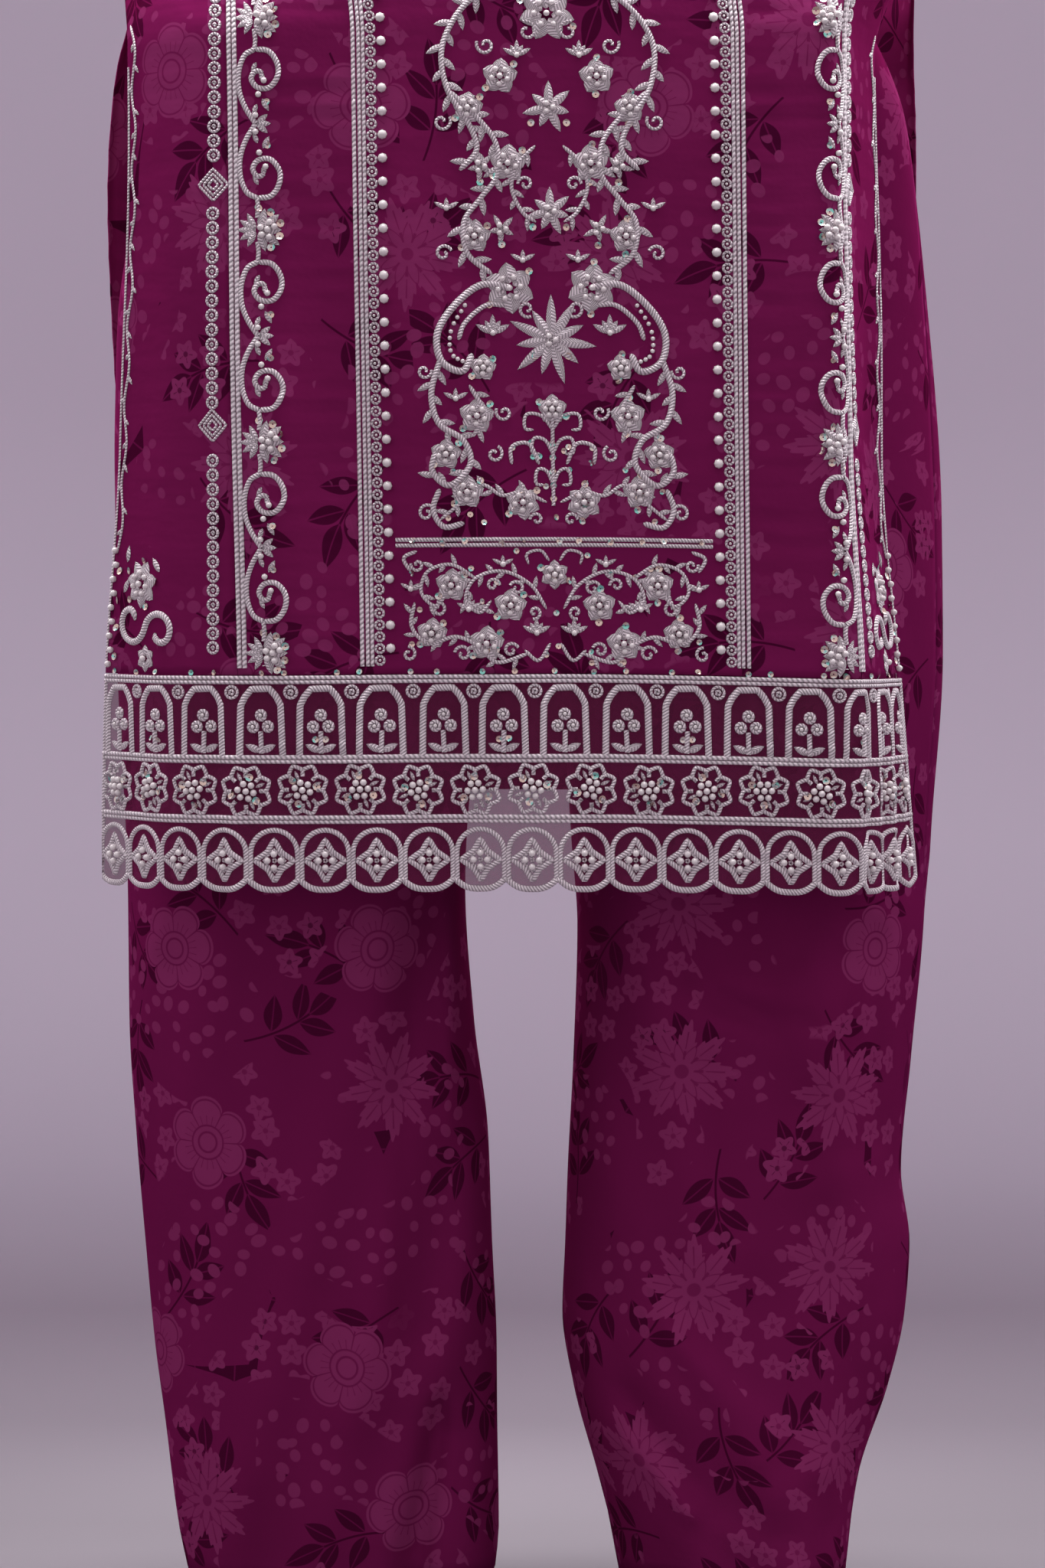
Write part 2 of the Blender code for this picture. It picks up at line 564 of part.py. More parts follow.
def build_trousers():
    """Front and back of each leg, seamed at the inner leg, the side and the centre, and the waistband."""
    shares = [0, EDGE_SHARE] + [k / TROUSER_COLUMNS for k in range(1, TROUSER_COLUMNS)] + [1 - EDGE_SHARE, 1]
    for leg in ("left", "right"):
        hem = HEM_LEFT if leg == "left" else HEM_RIGHT
        for half in ("front", "back"):
            rows = []
            for z in TROUSER_ROWS + [None]:
                row = []
                for share in shares:
                    level = hem_z(hem, share, half) if z is None else z
                    row.append(leg_point(leg, half, share, level))
                middle = (row[-1][1] + leg_point(leg, "back" if half == "front" else "front", 1,
                                                 row[-1][2])[1]) / 2
                for p in (row[0], row[-1]):
                    if abs(p[1] - middle) < SEAM_TOUCH:
                        p[1] += (-SEAM / 2) if half == "front" else SEAM / 2
                rows.append(row)
            flip = (leg == "left") == (half == "back")
            wall(f"trouser_{half}_{leg}", [r[::-1] for r in rows] if flip else rows, CLOTH, printed)
    band = []
    for z in (WAIST_Z + SEAM + BAND_HEIGHT, WAIST_Z + SEAM + BAND_HEIGHT / 2, WAIST_Z + SEAM):
        r = row_at(LEG_LEFT, WAIST_Z)
        ring = []
        for k in range(BAND_STEPS):
            a = 2 * math.pi * k / BAND_STEPS
            c, s = math.cos(a), math.sin(a)
            power = 2 / LEG_SQUARE
            x = math.copysign(abs(c) ** power, c) * r["outer"]
            y = math.copysign(abs(s) ** power, s) * r["back"]
            ring.append(np.array([x, y, z]))
        band.append(ring)
    wall("trouser_waistband", band, CLOTH, printed, around=True)


def make_material(name, colour, roughness, metallic=0.0, alpha=1.0):
    """A Principled material."""
    material = bpy.data.materials.new(name)
    material.use_nodes = True
    shader = material.node_tree.nodes["Principled BSDF"]
    shader.inputs["Base Color"].default_value = colour
    shader.inputs["Roughness"].default_value = roughness
    shader.inputs["Metallic"].default_value = metallic
    shader.inputs["Alpha"].default_value = alpha
    material.diffuse_color = colour
    return material


for old in list(bpy.data.objects):
    bpy.data.objects.remove(old)
suit = bpy.data.collections.new("salwar_suit")
bpy.context.scene.collection.children.link(suit)
printed = make_material("printed_cloth", WINE, 0.62)
veil = make_material("sheer_cloth", VEIL, 0.55, alpha=0.6)
thread = make_material("silver_thread", SILVER, 0.45, metallic=0.3)

build_kameez()
build_border()
build_sleeve("sleeve_left", 1)
build_sleeve("sleeve_right", -1)
build_trousers()
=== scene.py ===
"""Looks of a worn salwar suit: printed cloth, silver embroidery with pearls and sequins, a sheer border,
and the studio. Metres, in the frame of the CAD: +Z up, the front faces -Y, +X is the wearer's left."""
import math
import bpy
import numpy as np
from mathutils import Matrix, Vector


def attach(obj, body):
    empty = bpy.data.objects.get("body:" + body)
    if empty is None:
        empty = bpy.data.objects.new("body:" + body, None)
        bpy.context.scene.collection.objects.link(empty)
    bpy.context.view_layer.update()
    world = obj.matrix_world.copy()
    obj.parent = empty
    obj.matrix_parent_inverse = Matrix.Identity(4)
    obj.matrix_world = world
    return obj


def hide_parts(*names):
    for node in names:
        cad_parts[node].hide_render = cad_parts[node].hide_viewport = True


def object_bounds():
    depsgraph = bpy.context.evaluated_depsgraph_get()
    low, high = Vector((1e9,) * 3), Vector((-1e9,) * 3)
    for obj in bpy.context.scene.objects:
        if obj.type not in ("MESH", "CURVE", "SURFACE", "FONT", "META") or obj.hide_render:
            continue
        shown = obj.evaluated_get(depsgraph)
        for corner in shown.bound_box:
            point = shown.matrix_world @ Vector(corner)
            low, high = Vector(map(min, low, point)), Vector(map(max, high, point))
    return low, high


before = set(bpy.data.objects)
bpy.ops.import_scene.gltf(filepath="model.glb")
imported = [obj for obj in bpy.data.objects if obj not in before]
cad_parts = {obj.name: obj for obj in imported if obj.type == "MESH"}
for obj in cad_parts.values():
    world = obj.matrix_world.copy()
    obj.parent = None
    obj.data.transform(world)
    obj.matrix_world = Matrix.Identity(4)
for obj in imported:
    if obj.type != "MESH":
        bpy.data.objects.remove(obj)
cad_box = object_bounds()
rng = np.random.default_rng(7)

# Sizes shared with the solids
SEAM, SHOULDER_SEAM = 0.0003, 0.0007
TIP_Z, CHEST_Z, SLIT_TOP_Z, OPEN_Z = -0.045, -0.215, -0.370, -0.470
PRINT_HEM_Z, SCALLOP_Z, BACK_HEM_Z = -0.8385, -0.9665, -0.922
TIP_X, NECK_X, FRONT_NECK, BACK_NECK = 0.190, 0.070, 0.150, 0.030
SHOULDER_DEPTH, SHOULDER_REACH = 0.170, 0.130
SEAM_S, SEAM_TIP_S = 0.187, 0.145
SCALLOPS, SCALLOP_DEPTH = 19, 0.0065
DROP_LEFT, DROP_RIGHT, DROP_REACH, DROP_HEIGHT = 0.0045, 0.0015, 0.262, 0.350
SLEEVE_TILT, SLEEVE_LENGTH = math.radians(33), 0.270
SLEEVE_TOP_R, SLEEVE_HEM_R, SLEEVE_GAP = 0.068, 0.054, 0.0011
WAIST_Z, BAND_HEIGHT = -0.390, 0.032
CROWN, LEG_SQUARE = 0.45, 2.15

COLUMNS = {
    "closed": ("z", "right", "left", "front", "side", "back", "n"),
    "open": ("z", "x", "y", "wide_r", "at_r", "over_r", "turn_r", "wide_l", "at_l", "over_l", "turn_l"),
    "leg": ("z", "inner", "outer", "front", "back", "lean"),
}
CLOSED = np.array([
    (-0.470, 0.256, 0.246, -0.156, 0, 0.140, 2.6),
    (-0.370, 0.246, 0.240, -0.150, 0, 0.130, 2.6),
    (-0.320, 0.236, 0.234, -0.143, 0, 0.120, 2.6),
    (-0.265, 0.238, 0.238, -0.142, 0, 0.118, 2.5),
    (-0.215, 0.245, 0.245, -0.138, 0, 0.117, 2.5),
])
FRONT = np.array([
    (-0.9700, 0.0180, -0.1580, 0.3040, 0.1500, 0.1300, 42, 0.2730, 0.1480, 0.0520, 58),
    (-0.8385, 0.0165, -0.1580, 0.2970, 0.1500, 0.1300, 43, 0.2730, 0.1560, 0.0360, 62),
    (-0.7000, 0.0145, -0.1580, 0.2830, 0.1500, 0.1300, 48, 0.2700, 0.1590, 0.0160, 65),
    (-0.4700, 0.0115, -0.1560, 0.2680, 0.1500, 0.1300, 50, 0.2660, 0.1600, 0.0140, 66),
    (-0.3700, 0.0100, -0.1520, 0.2680, 0.1500, 0.1300, 50, 0.2660, 0.1590, 0.0150, 66),
])
BACK = np.array([
    (-0.9250, 0.0060, 0.1360, 0.2660, 0.1850, 0.0800, 30, 0.2620, 0.1830, 0.0800, 31),
    (-0.7500, 0.0040, 0.1410, 0.2760, 0.1880, 0.0800, 32, 0.2620, 0.1780, 0.0800, 33),
    (-0.6000, 0.0020, 0.1430, 0.2880, 0.1840, 0.0800, 38, 0.2660, 0.1660, 0.0800, 40),
    (-0.4700, 0.0000, 0.1400, 0.2980, 0.1720, 0.0800, 50, 0.2800, 0.1560, 0.0800, 49),
    (-0.3700, 0.0000, 0.1340, 0.3000, 0.1500, 0.0800, 64, 0.2900, 0.1480, 0.0800, 58),
])
LEG_LEFT = np.array([
    (-0.390, -0.165, 0.165, -0.098, 0.098, 0.00),
    (-0.445, -0.205, 0.2120, -0.104, 0.104, 0.00),
    (-0.500, -0.225, 0.2350, -0.106, 0.106, 0.10),
    (-0.560, -0.190, 0.2430, -0.104, 0.108, 0.24),
    (-0.620, -0.115, 0.2480, -0.098, 0.108, 0.36),
    (-0.670, -0.045, 0.2515, -0.092, 0.106, 0.42),
    (-0.705, -0.002, 0.2535, -0.088, 0.104, 0.44),
    (-0.735, 0.010, 0.2550, -0.086, 0.103, 0.44),
    (-0.830, 0.020, 0.2565, -0.084, 0.100, 0.44),
    (-0.950, 0.028, 0.2500, -0.084, 0.096, 0.40),
    (-1.000, 0.0315, 0.249, -0.083, 0.094, 0.22),
    (-1.085, 0.0290, 0.242, -0.080, 0.090, 0.12),
    (-1.155, 0.0255, 0.236, -0.078, 0.087, 0.06),
    (-1.200, 0.0240, 0.2415, -0.078, 0.086, 0.04),
    (-1.245, 0.0222, 0.2380, -0.080, 0.086, 0.00),
    (-1.290, 0.0290, 0.2275, -0.082, 0.086, 0.00),
    (-1.345, 0.0440, 0.2085, -0.085, 0.084, -0.04),
    (-1.410, 0.0610, 0.1985, -0.088, 0.082, -0.06),
])[::-1]
LEG_RIGHT = np.array([
    (-0.390, -0.165, 0.165, -0.098, 0.098, 0.00),
    (-0.445, -0.205, 0.208, -0.104, 0.104, 0.00),
    (-0.500, -0.225, 0.234, -0.106, 0.106, 0.04),
    (-0.560, -0.190, 0.246, -0.104, 0.108, 0.10),
    (-0.620, -0.115, 0.2555, -0.098, 0.108, 0.16),
    (-0.670, -0.045, 0.2575, -0.092, 0.106, 0.18),
    (-0.705, -0.002, 0.2582, -0.089, 0.104, 0.18),
    (-0.735, 0.012, 0.2580, -0.088, 0.103, 0.18),
    (-0.830, 0.026, 0.2572, -0.086, 0.100, 0.18),
    (-0.975, 0.0390, 0.2515, -0.080, 0.092, 0.12),
    (-1.060, 0.0335, 0.2508, -0.076, 0.086, 0.08),
    (-1.130, 0.0248, 0.2466, -0.072, 0.080, 0.04),
    (-1.200, 0.0222, 0.2408, -0.068, 0.074, 0.00),
    (-1.265, 0.0193, 0.2350, -0.064, 0.068, 0.00),
    (-1.310, 0.0190, 0.2292, -0.061, 0.064, 0.00),
    (-1.380, 0.0180, 0.2205, -0.057, 0.058, 0.00),
    (-1.410, 0.0210, 0.2140, -0.055, 0.055, 0.00),
])[::-1]
HEM_LEFT = dict(front=-1.392, side=-1.409, back=-1.404)
HEM_RIGHT = dict(front=-1.406, side=-1.408, back=-1.402)
LAST_LEVEL_Z = -1.370  # the legs' last level ring, above the curve of the hems
LEG_RIPPLE = 0.0019
CLOTH_WALL, VEIL_WALL = 0.0010, 0.0006

# Folds of the trousers: leg, half, ends of the fold line as x and z, half width, height above the cloth
FOLDS = [
    ("left", "front", 0.085, -1.052, 0.165, -1.050, 0.030, 0.006),
    ("left", "front", 0.105, -1.005, 0.200, -1.010, 0.020, -0.005),
    ("left", "front", 0.218, -0.985, 0.178, -1.080, 0.018, 0.005),
    ("left", "front", 0.125, -1.105, 0.135, -1.190, 0.026, 0.005),
    ("left", "front", 0.080, -1.265, 0.150, -1.340, 0.020, 0.006),
    ("left", "front", 0.060, -1.315, 0.105, -1.385, 0.018, 0.006),
    ("left", "front", 0.175, -1.180, 0.190, -1.300, 0.022, -0.005),
    ("left", "back", 0.200, -1.020, 0.060, -1.075, 0.022, 0.006),
    ("left", "back", 0.180, -1.150, 0.080, -1.230, 0.024, 0.005),
    ("left", "back", 0.140, -1.260, 0.110, -1.380, 0.020, -0.005),
    ("right", "front", -0.060, -0.995, -0.062, -1.240, 0.018, -0.006),
    ("right", "front", -0.052, -1.315, -0.072, -1.400, 0.014, -0.007),
    ("right", "front", -0.085, -1.000, -0.090, -1.280, 0.022, 0.004),
    ("right", "front", -0.200, -1.060, -0.190, -1.330, 0.026, 0.003),
    ("right", "back", -0.205, -1.030, -0.070, -1.090, 0.024, 0.006),
    ("right", "back", -0.130, -1.140, -0.120, -1.380, 0.024, -0.006),
    ("right", "back", -0.180, -1.200, -0.175, -1.370, 0.022, 0.005),
]
# Finer creases, in the same terms
CREASES = [
    ("left", "front", 0.112, -1.040, 0.170, -1.052, 0.007, -0.0040),
    ("left", "front", 0.185, -1.000, 0.150, -1.060, 0.009, 0.0036),
    ("left", "front", 0.214, -1.000, 0.214, -1.130, 0.008, -0.0036),
    ("left", "front", 0.105, -1.080, 0.112, -1.180, 0.009, -0.0025),
    ("left", "front", 0.085, -1.240, 0.140, -1.320, 0.008, 0.0036),
    ("left", "front", 0.062, -1.285, 0.112, -1.355, 0.007, -0.0032),
    ("left", "front", 0.100, -1.350, 0.165, -1.390, 0.008, 0.0032),
    ("left", "front", 0.196, -1.150, 0.180, -1.330, 0.010, 0.0032),
    ("left", "back", 0.170, -1.000, 0.080, -1.040, 0.010, -0.0036),
    ("left", "back", 0.190, -1.100, 0.100, -1.160, 0.010, 0.0040),
    ("left", "back", 0.120, -1.230, 0.100, -1.360, 0.009, 0.0032),
    ("right", "front", -0.046, -0.990, -0.048, -1.120, 0.007, 0.0029),
    ("right", "front", -0.072, -1.020, -0.078, -1.230, 0.008, -0.0025),
    ("right", "front", -0.052, -1.290, -0.068, -1.402, 0.006, -0.0054),
    ("right", "front", -0.120, -1.010, -0.126, -1.200, 0.012, 0.0022),
    ("right", "front", -0.222, -1.020, -0.212, -1.300, 0.009, -0.0029),
    ("right", "front", -0.168, -1.180, -0.160, -1.390, 0.012, -0.0022),
    ("right", "back", -0.190, -1.000, -0.090, -1.050, 0.010, -0.0036),
    ("right", "back", -0.150, -1.120, -0.146, -1.300, 0.010, 0.0032),
    ("right", "back", -0.090, -1.160, -0.094, -1.380, 0.010, 0.0029),
    ("left", "front", 0.098, -1.022, 0.150, -1.058, 0.008, -0.0042),
    ("left", "front", 0.150, -1.058, 0.168, -1.035, 0.008, -0.0036),
    ("left", "front", 0.222, -0.985, 0.196, -1.070, 0.009, -0.0040),
    ("left", "front", 0.090, -1.243, 0.149, -1.306, 0.009, 0.0046),
    ("left", "front", 0.060, -1.310, 0.101, -1.350, 0.008, 0.0042),
    ("left", "front", 0.203, -1.320, 0.188, -1.372, 0.008, -0.0044),
    ("right", "front", -0.056, -1.300, -0.076, -1.398, 0.007, -0.0056),
    ("right", "front", -0.100, -1.060, -0.112, -1.300, 0.014, 0.0026),
]
# Soft folds of the kameez: face, distance s from the centre line at top and low, top, low, half width, height
DRAPES = [
    ("front", -0.225, -0.245, -0.50, -0.97, 0.016, 0.0035),
    ("front", -0.150, -0.158, -0.60, -0.84, 0.020, 0.0025),
    ("front", 0.150, 0.158, -0.50, -0.84, 0.018, 0.0025),
    ("front", 0.236, 0.246, -0.52, -0.97, 0.016, -0.0035),
    ("back", -0.170, -0.190, -0.42, -0.93, 0.024, -0.006),
    ("back", -0.085, -0.095, -0.46, -0.93, 0.026, 0.005),
    ("back", 0.020, 0.030, -0.40, -0.90, 0.024, -0.005),
    ("back", 0.110, 0.125, -0.48, -0.93, 0.026, 0.006),
    ("back", 0.195, 0.205, -0.50, -0.93, 0.020, -0.004),
]
ARMHOLE = np.array([(0.0, 0.2450), (0.06, 0.2250), (0.15, 0.2060), (0.30, 0.1930), (0.50, 0.1860),
                    (0.70, 0.1850), (0.85, 0.1870), (0.94, 0.1888), (0.984, 0.1897), (1.0, TIP_X)])


def smooth(t):
    """Ease from 0 to 1."""
    t = np.clip(t, 0, 1)
    return t * t * (3 - 2 * t)


def row_at(kind, table, z):
    """A table's row at a height, with a monotone cubic in each column between its rows."""
    heights = table[:, 0]
    z = float(np.clip(z, heights[0], heights[-1]))
    k = int(np.clip(np.searchsorted(heights, z) - 1, 0, len(heights) - 2))
    step = np.diff(heights)
    rise = np.diff(table, axis=0) / step[:, None]
    slope = np.zeros_like(table)
    a, b = rise[:-1], rise[1:]
    both = a * b
    slope[1:-1] = np.where(both > 0, 2 * both / np.where(both > 0, a + b, 1), 0)
    slope[0], slope[-1] = rise[0], rise[-1]
    h = step[k]
    t = (z - heights[k]) / h
    row = (table[k] * (1 + 2 * t) * (1 - t) ** 2 + slope[k] * h * t * (1 - t) ** 2
           + table[k + 1] * t * t * (3 - 2 * t) + slope[k + 1] * h * t * t * (t - 1))
    return dict(zip(COLUMNS[kind], row))


def run_of(x, y):
    """Lengths along a plane curve."""
    return np.concatenate([[0.0], np.cumsum(np.hypot(np.diff(x), np.diff(y)))])


def closed_quarter(z, side, face):
    """A quarter of the closed body at a height, from the centre line to the side seam."""
    r = row_at("closed", CLOSED, z)
    wide = r["left"] if side > 0 else r["right"]
    u = np.linspace(0, math.pi / 2, 200)
    x = wide * np.sin(u) ** (2 / r["n"])
    y = abs(r["side"] - r[face]) * (1 - np.clip(np.cos(u), 0, 1) ** (2 / r["n"]))
    return x, y, r[face]


def open_half(z, side, face):
    """Half of the front or back panel below the slits, from its centre line to its edge."""
    r = row_at("open", FRONT if face == "front" else BACK, z)
    tail = "_l" if side > 0 else "_r"
    s = np.linspace(0, r["wide" + tail], 200)
    t = np.clip((s - r["at" + tail]) / r["over" + tail], 0, 1)
    heading = CROWN * s + math.radians(r["turn" + tail]) * t * t * (3 - 2 * t)
    ds = s[1]
    x = np.concatenate([[0], np.cumsum(np.cos(heading[1:] - CROWN * ds / 2) * ds)])
    y = np.concatenate([[0], np.cumsum(np.sin(heading[1:] - CROWN * ds / 2) * ds)])
    return x, y, r["y"], r["x"]


def half_length(z, side, face):
    """The cut width from the centre line to the edge at a height."""
    xc, yc, _ = closed_quarter(max(z, OPEN_Z), side, face)
    closed = run_of(xc, yc)[-1]
    wide = row_at("open", FRONT if face == "front" else BACK, z)["wide_l" if side > 0 else "wide_r"]
    w = smooth((SLIT_TOP_Z - z) / (SLIT_TOP_Z - OPEN_Z))
    return closed * (1 - w) + wide * w


def shoulder_z(x):
    """The height of the shoulder line over a place across the body."""
    return TIP_Z * np.maximum(0.0, (np.abs(x) - NECK_X)) / (TIP_X - NECK_X)


def top_z(x, depth):
    """The top edge of a panel: the neckline inside the neck, the shoulder line outside it."""
    inside = -depth * np.sqrt(np.clip(1 - (x / NECK_X) ** 2, 0, 1))
    return np.where(np.abs(x) < NECK_X, inside, shoulder_z(x))


def drape(s, z, face):
    """How far the kameez's soft folds raise it."""
    total = np.zeros(np.shape(s))
    for side, s0, s1, top, low, wide, high in DRAPES:
        along = (top - z) / (top - low)
        if side == face and along > 0:
            away = (s - (s0 + (s1 - s0) * min(along, 1.0))) / wide
            total = total + high * np.exp(-away * away) * smooth(along * 2.5)
    return total


def body_row(s, z, face):
    """Points of the kameez's outer side, s metres round from the centre line. Heights above the chest may
    be an array."""
    s = np.asarray(s, float)
    top = np.broadcast_to(z, s.shape)
    low = float(np.min(z))
    level = min(max(low, OPEN_Z), CHEST_Z)
    out = np.zeros(s.shape + (3,))
    for side in (-1, 1):
        pick = s < 0 if side < 0 else s >= 0
        t = np.minimum(np.abs(s[pick]) / half_length(min(low, CHEST_Z), side, face), 1)
        xc, yc, base = closed_quarter(level, side, face)
        run = run_of(xc, yc)
        x = np.interp(t * run[-1], run, xc)
        y = abs(base) - np.interp(t * run[-1], run, yc)
        middle = 0.0
        w = smooth((SLIT_TOP_Z - low) / (SLIT_TOP_Z - OPEN_Z))
        if w > 0:
            xo, yo, open_base, open_x = open_half(low, side, face)
            run = run_of(xo, yo)
            x = x * (1 - w) + w * np.interp(t * run[-1], run, xo)
            y = y * (1 - w) + w * (abs(open_base) - np.interp(t * run[-1], run, yo))
            middle = w * open_x
        fall = np.clip((shoulder_z(x) - top[pick]) / SHOULDER_DEPTH, 0, 1)
        y = np.where(top[pick] > CHEST_Z, y * np.sqrt(1 - (1 - fall) ** 2), y)
        y = y + drape(s[pick], low, face)
        out[pick, 0] = middle + side * x
        out[pick, 1] = y * (-1 if face == "front" else 1)
        out[pick, 2] = top[pick]
    out[:, 2] -= hem_drop(s, low, face)
    return out


def hem_drop(s, z, face):
    """How much lower the front hangs towards its sides."""
    if face == "back":
        return 0.0
    side = np.where(s > 0, DROP_LEFT, DROP_RIGHT)
    return side * smooth(np.abs(s) / DROP_REACH) * smooth((OPEN_Z - z) / DROP_HEIGHT)


class Surface:
    """A cloth surface as a table of points over even steps of u and v, read between its points."""

    def __init__(self, u, v, points, outward=1, relief=None):
        self.u, self.v, self.outward = u, v, outward
        self.points = points
        self.normals = self.normal()
        if relief is not None:
            self.points = points + self.normals * relief[:, :, None]
            self.normals = self.normal()

    def normal(self):
        """The outward normal at each point."""
        n = np.cross(np.gradient(self.points, axis=1), np.gradient(self.points, axis=0)) * self.outward
        return n / np.maximum(np.linalg.norm(n, axis=2, keepdims=True), 1e-12)

    def read(self, u, v):
        """Points and normals at u and v."""
        fu = np.clip((np.asarray(u) - self.u[0]) / (self.u[1] - self.u[0]), 0, len(self.u) - 1.001)
        fv = np.clip((np.asarray(v) - self.v[0]) / (self.v[1] - self.v[0]), 0, len(self.v) - 1.001)
        i, j = fu.astype(int), fv.astype(int)
        a, b = (fu - i)[..., None], (fv - j)[..., None]
        both = []
        for table in (self.points, self.normals):
            low = table[j, i] * (1 - a) + table[j, i + 1] * a
            high = table[j + 1, i] * (1 - a) + table[j + 1, i + 1] * a
            both.append(low * (1 - b) + high * b)
        return both[0], both[1]

    def at(self, u, v, lift=0.0):
        """Points at u and v, moved out."""
        p, n = self.read(u, v)
        return p + n * np.asarray(lift)[..., None]


def ripple(x, seed, count=5, low=0.7, high=1.6):
    """An uneven wave of about unit height and wavelength 1, made of a few sines."""
    own = np.random.default_rng(seed)
    total = np.zeros(np.shape(x))
    for _ in range(count):
        total = total + np.sin(2 * math.pi * (x * own.uniform(low, high) + own.uniform()))
    return total / math.sqrt(count)


def front_relief(s, z):
    """Fine creases of the front: short puckers beside the braids, and narrow folds at the hem's left end."""
    a = np.abs(s)
    beside = np.exp(-((a - 0.126) / 0.012) ** 2) + 0.6 * np.exp(-((a - 0.157) / 0.012) ** 2)
    pucker = 0.00085 * beside * ripple(z / 0.012, 3) * (0.6 + 0.4 * ripple(z / 0.09, 4))
    low = smooth((-0.800 - z) / 0.10)
    folds = 0.0021 * low * np.exp(-((s - 0.222) / 0.046) ** 4) * np.sin(2 * math.pi * (s - 0.176) / 0.0235)
    folds = folds + 0.0030 * low * (np.exp(-((s + 0.187 + 0.04 * (z + 0.97)) / 0.0085) ** 2)
                                    - 0.6 * np.exp(-((s + 0.203) / 0.0085) ** 2))
    sag = 0.0016 * ripple(s / 0.13 + z / 0.55, 5, 4) * smooth((-0.46 - z) / 0.2)
    near_seam = smooth((SLIT_TOP_Z - z) / 0.05)
    return (pucker + sag) * near_seam + folds


def body_surface(face):
    """The kameez's front or back as a table over s and z."""
    s = np.arange(-0.300, 0.3001, 0.002)
    z = np.arange(-0.980, -0.0049, 0.0025)
    points = np.array([body_row(s, height, face) for height in z])
    grid_s, grid_z = np.meshgrid(s, z)
    if face == "front":
        return Surface(s, z, points, 1, front_relief(grid_s, grid_z))
    relief = 0.0018 * ripple(grid_s / 0.10 + grid_z / 0.5, 11, 4) * smooth((SLIT_TOP_Z - grid_z) / 0.2)
    return Surface(s, z, points, -1, relief)


front = body_surface("front")
back = body_surface("back")


# Meshes and materials

def make_piece(name, verts, faces, uvs, material):
    """A mesh piece. uvs holds one pair for each corner of each face, or None."""
    mesh = bpy.data.meshes.new(name)
    faces = [np.asarray(f, int) for f in faces if len(f)]
    corners = np.concatenate([f.ravel() for f in faces])
    sizes = np.concatenate([np.full(len(f), f.shape[1]) for f in faces])
    mesh.vertices.add(len(verts))
    mesh.vertices.foreach_set("co", np.asarray(verts, np.float32).ravel())
    mesh.loops.add(len(corners))
    mesh.loops.foreach_set("vertex_index", corners.astype(np.int32))
    mesh.polygons.add(len(sizes))
    starts = np.concatenate([[0], np.cumsum(sizes)[:-1]])
    mesh.polygons.foreach_set("loop_start", starts.astype(np.int32))
    if uvs is not None:
        layer = mesh.uv_layers.new(name="cloth")
        layer.data.foreach_set("uv", np.asarray(uvs, np.float32).ravel())
    mesh.update(calc_edges=True)
    mesh.validate()
    mesh.shade_smooth()
    mesh.materials.append(material)
    piece = bpy.data.objects.new(name, mesh)
    bpy.context.scene.collection.objects.link(piece)
    return piece


def shell(name, points, uvs, thickness, material, around=False):
    """A cloth shell whose outer side is points[row][column], top row first."""
    points = np.asarray(points)
    rows, wide = points.shape[:2]
    columns = wide if around else wide - 1
    i, j = np.meshgrid(np.arange(rows - 1), np.arange(columns), indexing="ij")
    i, j = i.ravel(), j.ravel()
    k = (j + 1) % wide
    faces = np.stack([i * wide + j, (i + 1) * wide + j, (i + 1) * wide + k, i * wide + k], axis=1)
    uvs = np.asarray(uvs)
    corner_uvs = np.stack([uvs[i, j], uvs[i + 1, j], uvs[i + 1, j + 1], uvs[i, j + 1]], axis=1)
    piece = make_piece(name, points.reshape(-1, 3), [faces], corner_uvs, material)
    solid = piece.modifiers.new("wall", "SOLIDIFY")
    solid.thickness = thickness
    solid.offset = -1
    return piece


def flat_area(points, around=False):
    """The area of a grid of points."""
    p = np.asarray(points)
    if around:
        p = np.concatenate([p, p[:, :1]], axis=1)
    a, b = p[1:, 1:] - p[:-1, :-1], p[1:, :-1] - p[:-1, 1:]
    return float(np.linalg.norm(np.cross(a, b), axis=2).sum() / 2)


